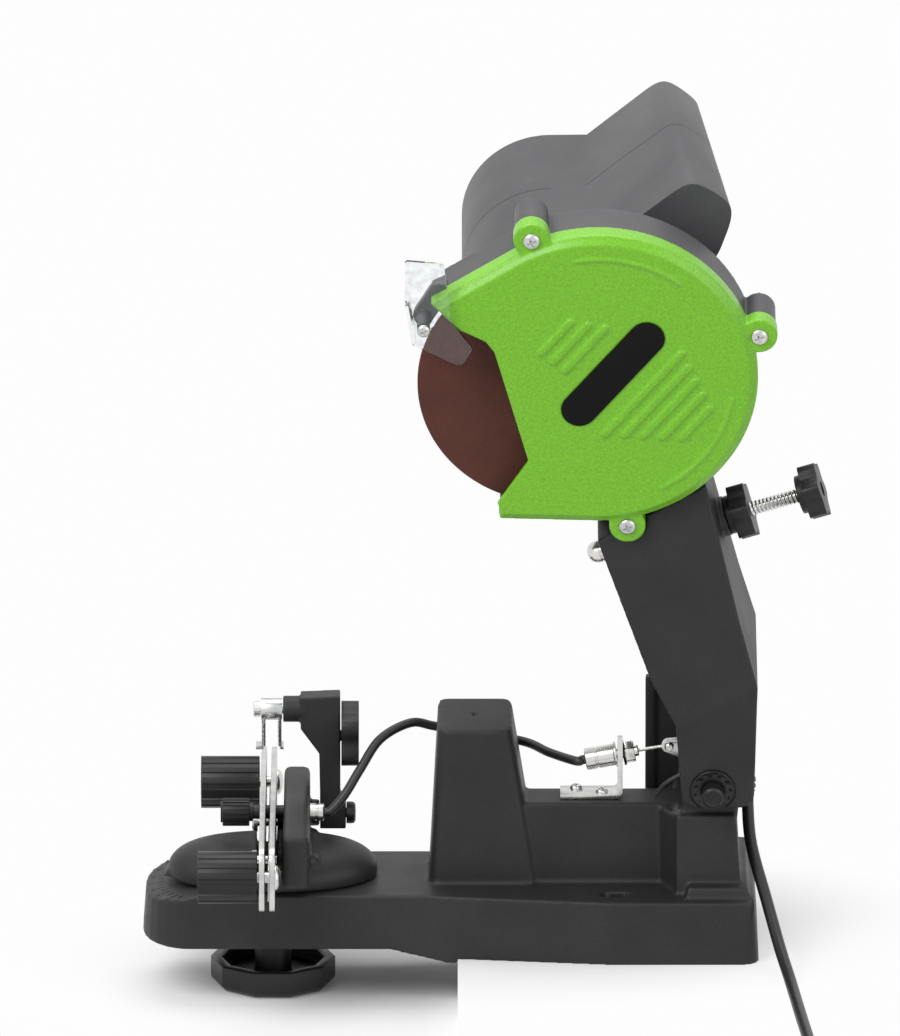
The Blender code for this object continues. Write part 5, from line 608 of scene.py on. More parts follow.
def recessed_cross(head, top, matrix, reach, depth=0.0011):
    """Cuts a cross recess into a screw head whose top lies at Z top."""
    for turn in (0, math.pi / 2):
        slot = box((-reach, -reach * 0.17, top - depth), (reach, reach * 0.17, top + 0.002))
        slot.data.transform(Matrix.Rotation(turn + CROSS_TURN, 4, 'Z'))
        cut(head, seated(slot, matrix))
    return shaded(head)


def pan_screw(radius, height, matrix, shank, length):
    """A pan-head screw: its head rises from Z 0 and its shank goes down."""
    h = height
    profile = ((0, h), (radius * 0.5, h * 0.97), (radius * 0.8, h * 0.82),
               (radius * 0.95, h * 0.55), (radius, h * 0.2), (radius * 0.98, 0), (shank, 0),
               (shank, -length), (0, -length))
    return recessed_cross(turned(profile, matrix), h, matrix, radius * 0.55)


# Castings

def deck_height(x):
    """The deck's top, which slopes down at the nose."""
    return 0.0345 + min(x + 0.2222, 0) * 0.0075 / 0.031


def rebuilt_dome():
    """The turntable's low oval dome, with more steps than the solid has."""
    floor, height, straight, rounding = 0.0348, 0.019, 0.004, 0.028
    rings = 14
    sizes = [(0.0568, 0.037, floor)]
    for k in range(rings + 1):
        angle = math.pi / 2 * k / rings
        draw = rounding * (1 - math.cos(angle))
        sizes.append((0.0568 - draw, 0.037 - draw,
                      floor + straight + (height - straight) * math.sin(angle)))
    bpy.ops.object.select_all(action='DESELECT')
    bpy.ops.mesh.primitive_circle_add(vertices=96, radius=1, fill_type='NGON')
    dome = edit(bpy.context.object, *[bpy.ops.mesh.extrude_region_move] * (len(sizes) - 1))
    for row, (half_x, half_y, z) in enumerate(sizes):
        for k in range(96):
            vert = dome.data.vertices[row * 96 + k]
            angle = math.atan2(vert.co.y, vert.co.x)
            vert.co = (half_x * math.cos(angle), half_y * math.sin(angle), z)
    closed(dome)
    channel = box((-0.0088, -0.041, 0.0414), (0.0021, 0.041, 0.058))
    return seated(cut(dome, channel), VISE)


def casting(name, voxel, passes, keep, *extra):
    """A packed casting with its edges rounded, joined with its finer pieces."""
    solid = node_copy(name)
    return softened(fused(solid, *extra), voxel, passes, keep)


def scale_marks():
    """Ticks each five degrees round the swivel, with plain numbers each ten."""
    marks = []
    for degrees in range(-35, 36, 5):
        long = degrees % 10 == 0
        tick = rounded(box((-0.0642 if long else -0.0626, -0.00042, -0.0006),
                           (-0.0592, 0.00042, 0.0005)), 0.00015, 2)
        marks.append(seated(tick, VISE @ Matrix.Rotation(math.radians(degrees), 4, 'Z')))
    for degrees in (-30, -20, -10, 0, 10, 20, 30):
        bpy.ops.object.select_all(action='DESELECT')
        bpy.ops.object.text_add()
        words = bpy.context.object
        words.data.body = str(abs(degrees))
        words.data.size = 0.0038
        words.data.extrude = 0.0005
        words.data.align_x = 'CENTER'
        words.data.align_y = 'CENTER'
        place = (VISE @ Matrix.Rotation(math.radians(degrees), 4, 'Z')
                 @ Matrix.Translation((-0.0664, 0, 0)) @ Matrix.Rotation(-math.pi / 2, 4, 'Z'))
        marks.append(seated(meshed(words), place))
    scale = joined(marks)
    for vert in scale.data.vertices:
        vert.co.z += deck_height(vert.co.x)
    return scale


def build_castings():
    base = casting("base_casting", 0.0011, 5, 0.3)
    for y in (-0.037, 0.037):
        cut(base, flat([capsule((-0.00025, y), (0.00825, y), 0.0044, 16)], -0.003, 0.040))
    dimple = turned(((0, -0.0016), (0.0014, -0.0010), (0.0026, 0.0008), (0.0026, 0.003),
                     (0, 0.003)), Matrix.Translation((-0.0723, 0.0044, 0.1236))
                    @ Matrix.Rotation(HEAD_TILT, 4, 'X'), 24)
    cut(base, dimple)
    dressed(shaded(base, 50), "base_body", "base_black", "base", "base_casting")
    dressed(scale_marks(), "angle_scale", "knob_black", "base")
    arm = casting("arm", 0.0010, 5, 0.5)
    cut(arm, head_rod(0, 0, -0.050, -0.0430, 0.0128))
    dressed(arm, "swing_arm", "base_black", "arm", "arm")
    neck = rounded(node_copy("head_bracket"), 0.001, 3)
    dressed(shaded(neck), "head_tongue", "base_black", "arm", "head_bracket")
    table = casting("vise_turntable", 0.0009, 5, 0.5, rebuilt_dome())
    dressed(table, "swivel_table", "base_black", "vise", "vise_turntable")
    stop = casting("stop_arm", 0.0006, 5, 0.5)
    dressed(stop, "stop_upright", "base_black", "stop_arm_body", "stop_arm")


# Grinding head

GUARD = (-0.0627, 0.2385)
GUARD_RADIUS = 0.086
SHELL_WALL = 0.003
MOUTH = ((-0.1524, 0.2837), (-0.1368, 0.2690), (-0.1230, 0.2620), (-0.1184, 0.2556),
         (-0.1000, 0.1898), (-0.1168, 0.1642), (-0.1151, 0.1539))
LOBES = ((-0.0984, 0.3215), (0.0238, 0.2642), (-0.0465, 0.1496))
COVER_FRONT, COVER_RIM, COVER_BACK, GUARD_BACK = -0.0250, -0.0220, -0.0110, 0.0125
AXIS = (-0.0870, 0.2305)
SHIELD_SCREW = (-0.1562, 0.2709)
LABEL_ENDS = ((-0.0726, 0.2215), (-0.0366, 0.2642))


def guard_line(steps=110):
    """The round guard's outline with its open mouth at the lower left."""
    ends = []
    for (x, w), side in ((MOUTH[-1], 1), (MOUTH[0], -1)):
        dx, dw = x - GUARD[0], w - GUARD[1]
        reach = math.acos(GUARD_RADIUS / math.hypot(dx, dw))
        ends.append(math.atan2(dw, dx) + side * reach + TURN)
    start, end = ends
    if start > end:
        start -= TURN
    return arc(GUARD, GUARD_RADIUS, start, end, steps) + list(MOUTH)


def lobe_rods(radius, near, far, sides=48):
    return [head_rod(x, w, near, far, radius, sides) for x, w in LOBES]


def mouth_tool(near, far):
    """What opens the shells' mouth side for the disc."""
    top = Vector(MOUTH[0]).lerp(Vector(MOUTH[1]), 0.35)
    low = Vector(MOUTH[-1]).lerp(Vector(MOUTH[-2]), 0.5)
    outside, depth = -0.1635, 0.006
    return head_plate([[tuple(top), (outside, top.y), (outside, low.y), tuple(low),
                        (low.x + depth, low.y), (MOUTH[4][0] + depth, MOUTH[4][1]),
                        (MOUTH[3][0] + depth, MOUTH[3][1]),
                        (top.x + depth * 1.5, top.y + depth * 1.5)]], near, far)


def on_label(along_it, across):
    """A point of the cover's face, measured along and across the label."""
    start, end = Vector(LABEL_ENDS[0]), Vector(LABEL_ENDS[1])
    way = (end - start).normalized()
    return tuple((start + end) / 2 + way * along_it + Vector((way.y, -way.x)) * across)


def cover_relief():
    """Raised ribs in line with the label, and bands that follow the rim."""
    radius, step = 0.0096, 0.0096 * 0.86
    ribs = [(radius * (0.2 - 0.25 * k), radius * (1.75 - 0.25 * k), -radius * 2.2 - step * k)
            for k in range(3)]
    ribs += [(radius * (0.15 + 0.12 * k), radius * (3.3 - 0.52 * k), radius * 2.1 + step * k)
             for k in range(5)]
    raised = [head_plate([capsule(on_label(m - h, o), on_label(m + h, o), 0.0019, 8)],
                         COVER_FRONT - 0.0012, COVER_FRONT + 0.0015) for m, h, o in ribs]
    for start, end in ((-62, -8), (52, 100)):
        a, b = math.radians(start), math.radians(end)
        band = arc(GUARD, 0.07396, a, b, 30) + arc(GUARD, 0.07196, b, a, 30)
        raised.append(head_plate([band], COVER_FRONT - 0.001, COVER_FRONT + 0.0015))
    return raised


def redrawn(obj, inside, line, goal):
    """Moves the vertices in part of a head piece from one outline to another."""
    back_to_head = HEAD.inverted()
    for vert in obj.data.vertices:
        x, v, w = back_to_head @ vert.co
        if inside(v):
            here = Vector((x, w))
            nearest = min(range(len(line)), key=lambda i: (Vector(line[i]) - here).length)
            vert.co = HEAD @ Vector((goal[nearest][0], v, goal[nearest][1]))
    return obj


def build_cover():
    line = guard_line()
    cover = head_plate([line], COVER_RIM, COVER_BACK)
    centre = Vector(GUARD)
    rim = [tuple(centre.lerp(Vector(p), 0.9968)) for p in line]
    drawn = [end if p in MOUTH[1:-1] else tuple(centre.lerp(Vector(p), 0.94767))
             for p, end in zip(line, rim)]
    face = redrawn(head_plate([rim], COVER_FRONT, COVER_RIM + 0.0005),
                   lambda v: v < COVER_FRONT + 0.0005, rim, drawn)
    fused(cover, face, *lobe_rods(0.0098, COVER_RIM - 0.0004, COVER_BACK - 0.0003))
    cut(cover, head_plate([inset(line, SHELL_WALL)], COVER_FRONT + 0.0026, COVER_BACK + 0.002))
    fused(cover, *lobe_rods(0.0061, COVER_RIM + 0.002, COVER_BACK - 0.0003))
    cut(cover, mouth_tool(COVER_FRONT + 0.0033, COVER_BACK + 0.002))
    fused(cover, *cover_relief())
    cut(cover, head_plate([capsule(*LABEL_ENDS, 0.0099, 24)], COVER_FRONT - 0.002,
                          COVER_FRONT + 0.0008), *lobe_rods(0.0028, -0.027, 0.002, 24))
    softened(cover, 0.00058, 9, 0.5, HEAD)
    dressed(cover, "front_cover", "lime_plastic", "arm", "green_cover")
    label = head_plate([capsule(*LABEL_ENDS, 0.0096, 28)], -0.0257, -0.0245, 0.0003)
    dressed(shaded(label), "bare_label", "label_gloss", "arm", "label_plate")


def build_guard():
    line = inset(guard_line(), 0.0008)
    near = COVER_BACK + 0.0003
    guard = head_plate([line], near, GUARD_BACK)
    fused(guard, *lobe_rods(0.0090, near + 0.0003, GUARD_BACK - 0.0003))
    cut(guard, head_plate([inset(guard_line(), SHELL_WALL + 0.0008)], near - 0.002,
                          GUARD_BACK - 0.003))
    fused(guard, *lobe_rods(0.0061, near, GUARD_BACK - 0.002))
    cut(guard, mouth_tool(near - 0.002, GUARD_BACK - 0.0027))
    fused(guard, head_plate([capsule((-0.1475, 0.2860), SHIELD_SCREW, 0.0055)],
                            COVER_BACK + 0.0006, COVER_BACK + 0.0061),
          head_rod(*SHIELD_SCREW, -0.0264, COVER_BACK + 0.004, 0.0036, 32))
    cut(guard, head_rod(*SHIELD_SCREW, -0.0285, COVER_BACK, 0.0016, 20),
        head_rod(*AXIS, 0.0065, 0.0185, 0.006),
        *lobe_rods(0.0028, near - 0.002, near + 0.020, 24))
    softened(guard, 0.0007, 3, 0.4)
    dressed(guard, "disc_guard", "grey_plastic", "arm", "guard_housing")


FAR_SLAB = ((-0.0400, 0.2475), (-0.0150, 0.2760), (-0.0066, 0.2930), (-0.0076, 0.3000),
            (-0.0220, 0.3116), (-0.0297, 0.3116), (-0.0676, 0.2793))
NEAR_SLAB = ((-0.0385, 0.2470), (0.0010, 0.2807), (0.0097, 0.3060), (0.0086, 0.3160),
             (-0.0075, 0.3270), (-0.0160, 0.3270), (-0.0676, 0.2850))
MOTOR_NEAR, MOTOR_SEAM, MOTOR_FAR = 0.035, 0.125, 0.190
MOTOR_RADIUS, MOTOR_BORE, BEARING_BORE, SHAFT_BORE = 0.0486, 0.0426, 0.0113, 0.006


def eased(points, radius=0.009, steps=6):
    """The same line with its inner corners rounded, each by the same count of points."""
    places = [Vector(p) for p in points]
    line = [points[0]]
    for before, corner, after in zip(places, places[1:], places[2:]):
        a = corner + (before - corner).normalized() * min(radius, (before - corner).length * 0.46)
        b = corner + (after - corner).normalized() * min(radius, (after - corner).length * 0.46)
        for k in range(steps + 1):
            t = k / steps
            line.append(tuple(a * (1 - t) ** 2 + corner * 2 * t * (1 - t) + b * t ** 2))
    return line + [points[-1]]


def motor_body():
    """The whole motor shell: a round with the handle slab, narrower at its far end."""
    round_part = arc(AXIS, MOTOR_RADIUS, math.radians(92), math.radians(374), 84)
    near, far = round_part + eased(NEAR_SLAB), round_part + eased(FAR_SLAB)
    body = redrawn(head_plate([near], MOTOR_NEAR, MOTOR_FAR),
                   lambda v: v > MOTOR_FAR - 0.001, near, far)
    return rounded(body, 0.0024, 4, 40)


def motor_cut(shell, *bores):
    return cut(shell, *[head_rod(*AXIS, *bore, 64) for bore in bores])


def motor_half(shell, near, far):
    """The part of the motor shell between two planes."""
    reach = 0.5
    block = box((-reach, near, -reach), (reach, far, reach))
    return combined(shell, seated(block, HEAD), 'INTERSECT')


def build_motor():
    whole = motor_body()
    front = motor_half(linked("half", whole.data.copy()), MOTOR_NEAR - 0.01, MOTOR_SEAM - 0.0005)
    fused(front, head_rod(*AXIS, GUARD_BACK + 0.0003, MOTOR_NEAR + 0.002, 0.0483, 84))
    motor_cut(front, (0.039, 0.127, MOTOR_BORE), (0.0257, 0.041, BEARING_BORE),
              (0.0108, 0.030, SHAFT_BORE))
    dressed(shaded(front), "motor_front", "grey_plastic", "arm", "motor_housing_front")
    rear = motor_half(whole, MOTOR_SEAM, MOTOR_FAR + 0.01)
    motor_cut(rear, (0.123, 0.163, MOTOR_BORE), (0.159, 0.1703, BEARING_BORE),
              (0.163, 0.178, SHAFT_BORE))
    well = box((-0.040, 0.178, 0.270), (-0.026, 0.192, 0.300))
    cut(rear, seated(well, HEAD))
    for k in range(7):
        x = AXIS[0] + (k - 3) * 0.0085
        half = math.sqrt(0.034 ** 2 - (x - AXIS[0]) ** 2)
        slot = head_plate([capsule((x, AXIS[1] - half), (x, AXIS[1] + half), 0.0015, 6)],
                          MOTOR_FAR - 0.003, MOTOR_FAR + 0.002)
        cut(rear, slot)
    dressed(shaded(rear), "motor_rear", "grey_plastic", "arm", "motor_housing_rear")


def build_disc():
    place = HEAD @ along((AXIS[0], -0.0116, AXIS[1]), (0, 1, 0))
    wheel = turned(((0.0111, 0.0), (0.0720, 0.0), (0.0725, 0.0005), (0.0725, 0.0027),
                    (0.0720, 0.0032), (0.0111, 0.0032), (0.0111, 0.0)), place, 160)
    dressed(wheel, "grinding_wheel", "abrasive", "spindle", "grinding_disc")


def build_shield():
    """Clear shield, bent back along its left edge, on a screw in the guard's post."""
    shape = [(-0.1662, 0.3114), (-0.1662, 0.2850), (-0.1622, 0.2624), (-0.1600, 0.2611),
             (-0.1390, 0.2503), (-0.1360, 0.2503), (-0.1346, 0.2515), (-0.1303, 0.2588),
             (-0.1303, 0.2607), (-0.1410, 0.2750), (-0.1452, 0.3092), (-0.1460, 0.3106),
             (-0.1650, 0.3124)]
    shield = head_plate([shape], -0.0285, -0.0267)
    flange = head_plate([[(-0.1662, 0.2850), (-0.1622, 0.2624), (-0.1604, 0.2624),
                          (-0.1644, 0.2850)]], -0.0282, -0.0065)
    fused(shield, flange)
    cut(shield, head_rod(*SHIELD_SCREW, -0.031, -0.024, 0.0019, 24))
    rounded(shield, 0.00045, 3, 35)
    dressed(shaded(shield), "splash_shield", "clear_shield", "arm", "eye_shield")


def build_head_screws():
    for k, (x, w) in enumerate(LOBES):
        place = HEAD @ along((x, COVER_RIM - 0.0002, w), (0, -1, 0))
        screw = pan_screw(0.0047, 0.0026, place, 0.0021, 0.020)
        dressed(screw, "cover_screw_%d" % (k + 1), "zinc", "arm")
    place = HEAD @ along((SHIELD_SCREW[0], -0.0286, SHIELD_SCREW[1]), (0, -1, 0))
    small = pan_screw(0.0036, 0.0020, place, 0.00145, 0.008)
    dressed(small, "shield_screw", "zinc", "arm")


# Pivot, clamp cable and depth screw

def threaded(radius, pitch, length, matrix, depth=0.6):
    """A screw thread: one tooth swept up a helix, with its ends closed."""
    core = radius - pitch * depth
    tooth = profile_line([(core, 0), (radius, 0.44 * pitch), (radius, 0.56 * pitch),
                          (core, pitch)])
    obj = add_modifier(tooth, 'SCREW', axis='Z', steps=24, render_steps=24,
                       iterations=int(length / pitch) - 1, screw_offset=pitch,
                       use_merge_vertices=True, merge_threshold=0.000002)
    edit(obj, lambda: bpy.ops.mesh.remove_doubles(threshold=0.000002),
         lambda: bpy.ops.mesh.fill_holes(sides=0),
         lambda: bpy.ops.mesh.normals_make_consistent(inside=False))
    return shaded(seated(obj, matrix), 30)


def star_shape(radius, lobes, share, steps=16):
    total = lobes * steps
    return [(radius * (1 - share * (0.5 - 0.5 * math.cos(lobes * a))) * math.cos(a),
             radius * (1 - share * (0.5 - 0.5 * math.cos(lobes * a))) * math.sin(a))
            for a in (TURN * i / total for i in range(total))]


def ring_shape(outer, inner, height):
    return ((inner, 0), (outer - 0.0002, 0), (outer, 0.0002), (outer, height - 0.0002),
            (outer - 0.0002, height), (inner, height), (inner, 0))


def toothed_washer(outer, inner, height, teeth, matrix):
    shape = []
    for i in range(teeth):
        for share, reach in ((0, outer), (0.42, outer), (0.52, outer - 0.0016),
                             (0.9, outer - 0.0016)):
            angle = TURN * (i + share) / teeth
            shape.append((reach * math.cos(angle), reach * math.sin(angle)))
    return shaded(seated(flat([shape, circle((0, 0), inner)], 0, height, 0.00015, 1), matrix))


def head_turned(profile, x, v, w, way=1, sides=48):
    return turned(profile, HEAD @ along((x, v, w), (0, way, 0)), sides)


def build_pivot():
    end = 0.0541
    shaft = head_turned(((0, 0), (0.0049, 0), (0.0060, 0.0009), (0.0060, end + 0.0452),
                         (0.0052, end + 0.0461), (0, end + 0.0461)), 0, -end, 0)
    dressed(shaft, "pivot_pin", "black_steel", "arm", "pivot_shaft")
    near = toothed_washer(0.0105, 0.0063, 0.0015, 12,
                          HEAD @ along((0, -0.0458, 0), (0, 1, 0)))
    dressed(near, "lock_washer", "black_steel", "arm", "pivot_washer")
    back = head_turned(ring_shape(0.0116, 0.0063, 0.0014), 0, -0.0444, 0)
    dressed(back, "back_washer", "black_steel", "arm")
    far = head_turned(ring_shape(0.0098, 0.0063, 0.0014), 0, 0.0442, 0)
    dressed(far, "far_washer", "black_steel", "arm")
    mean, start_v, steps, turns, pitch = 0.0081, -0.0274, 10, 5, 0.0040
    first = math.radians(130)
    coils = [(mean * math.cos(first + TURN * i / steps), start_v + pitch * i / steps,
              mean * math.sin(first + TURN * i / steps)) for i in range(turns * steps + 1)]
    leg_v = start_v - 0.0010
    end = coils[-1]
    legs = ([(-0.031, leg_v, -0.01163), (-0.02325, leg_v, -0.0026)],
            [(end[0] + 0.0132, end[1] + 0.00133, end[2] + 0.012),
             (0.0179, end[1] + 0.0020, end[2] + 0.0312)])
    path = [HEAD @ Vector(p) for p in legs[0] + coils + legs[1]]
    spring = meshed(wire("spring", rounded_path(path, 4), 0.0013, 5))
    dressed(shaded(spring, 60), "return_spring", "black_steel", "base", "torsion_spring")


CABLE_TURN = math.radians(10.2)
CABLE_WAY = Vector((math.cos(CABLE_TURN), 0, math.sin(CABLE_TURN)))
LEVER_TIP = (-0.0232, 0.0040)
LEVER_END = HEAD @ Vector((LEVER_TIP[0], 0, LEVER_TIP[1]))


def on_cable(x):
    """The point of the straight cable stretch at x."""
    return Vector((0.0050, 0, 0.1026)) + CABLE_WAY * ((x - 0.0050) / math.cos(CABLE_TURN))


def bracket_plate():
    """Zinc angle with a rounded bend, holes and soft corners."""
    floor, thick, foot, face, top = 0.0792, 0.0028, -0.0260, 0.0078, 0.1105
    outer = arc((face - 0.0052, floor + 0.0052), 0.0052, -math.pi / 2, 0, 10)
    inner = arc((face - 0.0052, floor + 0.0052), 0.0024, 0, -math.pi / 2, 10)
    side = [(foot, floor)] + outer + [(face, top), (face - thick, top)] + inner + [
        (foot, floor + thick)]
    plate = seated(flat([side], -0.008, 0.008), FACE_FRONT)
    cut(plate, seated(disc(0.0033, 0.012, 32), along(on_cable(0.0022), CABLE_WAY)))
    return shaded(rounded(plate, 0.0004, 2, 50))


def build_cable():
    dressed(bracket_plate(), "cable_angle", "zinc", "base", "cable_bracket")
    for k, (x, y) in enumerate(((-0.0175, 0.0035), (-0.0035, -0.0035))):
        screw = pan_screw(0.0034, 0.0022, Matrix.Translation((x, y, 0.0820)), 0.0016, 0.006)
        dressed(screw, "bracket_screw_%d" % (k + 1), "zinc", "base")
    start = on_cable(-0.0123)
    body = (on_cable(0.0033) - start).length
    neck = (on_cable(0.0163) - start).length
    seat = body * 0.45
    profile = ((0.0028, 0), (0.0056, 0), (0.0060, 0.0004), (0.0060, body * 0.34),
               (0.0056, body * 0.36), (0.0056, body * 0.42), (0.0060, body * 0.44),
               (0.0060, body - 0.0004), (0.0056, body), (0.0030, body), (0.0030, neck - 0.0004),
               (0.0026, neck), (0.0012, neck), (0.0012, seat), (0.0028, seat), (0.0028, 0))
    barrel = turned(profile, along(start, CABLE_WAY))
    dressed(barrel, "adjusting_barrel", "steel", "base", "cable_barrel")
    nut = rounded(node_copy("lock_nut"), 0.0004, 2)
    dressed(shaded(nut), "hex_nut", "steel", "base", "lock_nut")
    washer = turned(ring_shape(0.0070, 0.0031, 0.0012), along(on_cable(0.00345), CABLE_WAY))
    dressed(washer, "barrel_washer", "steel", "base")
    near_nut = toothed_washer(0.0068, 0.0031, 0.0011, 10, along(on_cable(0.0080), CABLE_WAY))
    dressed(near_nut, "tooth_washer", "black_steel", "base")
    build_strands()
    lever = rounded(node_copy("cable_lever"), 0.0003, 2)
    dressed(shaded(lever), "cable_arm", "zinc", "arm", "cable_lever")
    nipple = head_turned(((0, 0), (0.0018, 0), (0.0022, 0.0004), (0.0022, 0.0056),
                          (0.0018, 0.0060), (0, 0.0060)),
                         LEVER_TIP[0], -0.0030, LEVER_TIP[1], 1, 24)
    dressed(nipple, "cable_end", "steel", "arm", "cable_nipple")


def build_strands():
    """Seven-strand wire from the barrel to the lever."""
    knee = on_cable(0.0183)
    way = (LEVER_END - knee).normalized()
    end = LEVER_END - way * 0.0028
    line = [on_cable(-0.0062), on_cable(0.0050), knee, knee.lerp(end, 0.5), end]
    middle = rounded_path(line, 14)
    strands = [wire("core", middle, 0.00034, 2)]
    for k in range(6):
        turns = []
        run = 0.0
        for i, here in enumerate(middle):
            run += (here - middle[i - 1]).length if i else 0
            forward = (middle[min(i + 1, len(middle) - 1)] - middle[max(i - 1, 0)]).normalized()
            side = forward.cross(Vector((0, 1, 0))).normalized()
            up = forward.cross(side)
            angle = TURN * (k / 6 + run / 0.007)
            turns.append(here + (side * math.cos(angle) + up * math.sin(angle)) * 0.00062)
        strands.append(wire("strand", turns, 0.00033, 2))
    rope = shaded(joined([meshed(strand) for strand in strands]), 60)
    rope.name = "clamp_wire"
    rope.data.materials.clear()
    rope.data.materials.append(FINISHES["steel"])
    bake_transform(rope)
    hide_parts("inner_wire")


def build_housing():
    """The clamp cable's black sheath, from the barrel to the vise end."""
    barrel = on_cable(-0.0123)
    vise_end = Vector((SWIVEL_X + 0.0206, *ADJUSTER_AT))
    line = ([barrel + CABLE_WAY * 0.006 * share for share in (0.95, 0.3, -0.3, -0.9)]
            + [Vector(p) for p in SHEATH_POINTS]
            + [vise_end + Vector((0.00825, 0, 0)), vise_end])
    sheath = meshed(wire("sheath", rounded_path(line, 10), 0.0025, 6))
    sheath.name = "cable_sheath"
    sheath.data.materials.clear()
    sheath.data.materials.append(FINISHES["rubber"])
    shaded(sheath, 60)
    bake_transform(sheath)
    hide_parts("cable_housing")


ADJUSTER_AT = (0.003, 0.0685)
SHEATH_POINTS = (
    (-0.0317, 0.0150, 0.0985), (-0.0460, 0.0290, 0.1005), (-0.0723, 0.0330, 0.1035),
    (-0.0944, 0.0330, 0.1080), (-0.1074, 0.0300, 0.1107), (-0.1236, 0.0220, 0.1040),
    (-0.1344, 0.0120, 0.0902), (-0.1426, 0.0060, 0.0779), (-0.1500, 0.0030, 0.0697))
DEPTH = HEAD @ along((-0.0627, 0.008, 0.1181), (math.cos(math.radians(17.6)), 0,
                                                math.sin(math.radians(17.6))))


def star_knob(start, thick=0.013, bore=0.0043):
    """A six-lobed knob with a hub toward the arm and a rounded outer face."""
    knob = rounded(flat([star_shape(0.016, 6, 0.22)], 0.0034, thick), 0.0021, 4, 50)
    hub = turned(((0, 0), (0.0102, 0), (0.0105, 0.0003), (0.0105, 0.0050), (0, 0.0050)),
                 Matrix())
    fused(knob, hub)
    hole = seated(disc(bore, thick + 0.004, 32), Matrix.Translation((0, 0, -0.002)))
    cut(knob, hole)
    return shaded(seated(knob, DEPTH @ Matrix.Translation((0, 0, start))))


def build_depth_screw():
    tip = turned(((0, -0.005), (0.0022, -0.0048), (0.0042, -0.0038), (0.0054, -0.0020),
                  (0.0060, 0.0002), (0.0060, 0.0018), (0.0056, 0.0021), (0.0056, 0.0026),
                  (0.0060, 0.0029), (0.0060, 0.0050), (0.0038, 0.0052), (0.0033, 0.0060),
                  (0.0033, 0.0070), (0, 0.0070)), DEPTH)
    thread = threaded(0.004, 0.0021, 0.1205, DEPTH @ Matrix.Translation((0, 0, 0.0050)), 0.36)
    dressed(joined([tip, thread]), "feed_screw", "steel", "depth_stop", "depth_screw")
    dressed(star_knob(0.0743), "lock_star", "knob_black", "jam_nut_body", "jam_nut")
    dressed(star_knob(0.1145), "feed_star", "knob_black", "depth_knob_body", "depth_knob")


# Vise

STOP_Y = 0.046
PIN_PLACES = ((-0.034, "near"), (0.034, "far"))
PIN_Z = 0.053
BOLT_PLACES = ((-0.085, "near"), (0.085, "far"))
BOLT_Z = 0.0595


def ridged_shape(radius, ribs, depth, points=((0, 0), (0.12, 0), (0.33, 0), (0.45, 0),
                                              (0.53, 1), (0.92, 1))):
    return [((radius - depth * low) * math.cos(TURN * (i + share) / ribs),
             (radius - depth * low) * math.sin(TURN * (i + share) / ribs))
            for i in range(ribs) for share, low in points]


def grip(radius, ribs, depth, start, length, y, z):
    """A ridged grip along X with a stepped outer face."""
    shape = [(y + a, z + b) for a, b in ridged_shape(radius, ribs, depth)]
    knob = vise_plate([shape], start - length, start, 0.00045, 2)
    groove = vise_turned(((radius * 0.55, -0.001), (radius * 0.74, -0.001),
                          (radius * 0.74, 0.0007), (radius * 0.55, 0.0007),
                          (radius * 0.55, -0.001)), start - length, y, z)
    return cut(knob, groove)


def rail(front, name, body, replaced):
    y, low, high, r = 0.098, 0.042, 0.078, 0.009
    quarter = math.pi / 2
    loops = [arc((y - r, low + r), r, -quarter, 0, 14)
             + arc((y - r, high - r), r, 0, quarter, 14)
             + arc((r - y, high - r), r, quarter, 2 * quarter, 14)
             + arc((r - y, low + r), r, 2 * quarter, 3 * quarter, 14)]
    for side in (-1, 1):
        ends = sorted((side * 0.0415, side * 0.0205))
        loops.append(capsule((ends[0], 0.0685), (ends[1], 0.0685), 0.0045, 14))
        loops.append(circle((side * PIN_PLACES[1][0], PIN_Z), 0.0028, 24))
        loops.append(circle((side * BOLT_PLACES[1][0], BOLT_Z), 0.0033, 24))
    loops.append(circle(ADJUSTER_AT, 0.0041, 28))
    plate = vise_plate(loops, front, front + 0.003, 0.00035, 2)
    dressed(shaded(plate), name, "zinc", body, replaced)


def build_rails():
    rail(-0.0012, "fixed_jaw", "vise", "fixed_rail")
    rail(-0.0068, "moving_jaw", "jaw", "moving_rail")
    dressed(shaded(rounded(node_copy("guide_strip"), 0.00015, 1)), "chain_strip", "steel",
            "vise", "guide_strip")
    for y, word in PIN_PLACES:
        pin = vise_turned(((0, 0), (0.0047, 0), (0.0055, 0.0008), (0.0055, 0.0030),
                           (0.0025, 0.0030), (0.0025, 0.0270), (0, 0.0270)), -0.0115, y, PIN_Z)
        dressed(pin, word + "_pin", "steel", "vise", word + "_guide_pin")
    for y, word in BOLT_PLACES:
        head, r = 0.0032, 0.007
        dome = tuple((r * math.sin(a), -head * math.cos(a)) for a in
                     (math.pi / 2 * k / 8 for k in range(9)))
        bolt = vise_turned(dome + ((r, 0.0004), (0.003, 0.0004), (0.003, 0.031), (0, 0.031)),
                           0.0021, y, BOLT_Z, -1)
        dressed(bolt, word + "_bolt", "steel", "vise", word + "_rail_bolt")
        knob = grip(0.0143, 14, 0.0007, -0.0078, 0.032, y, BOLT_Z)
        bore = seated(disc(0.0033, 0.0264, 24), VISE @ along((-0.0322, y, BOLT_Z), (1, 0, 0)))
        cut(knob, bore)
        dressed(shaded(knob), word + "_grip", "knob_black", word + "_knob",
                word + "_rail_knob")


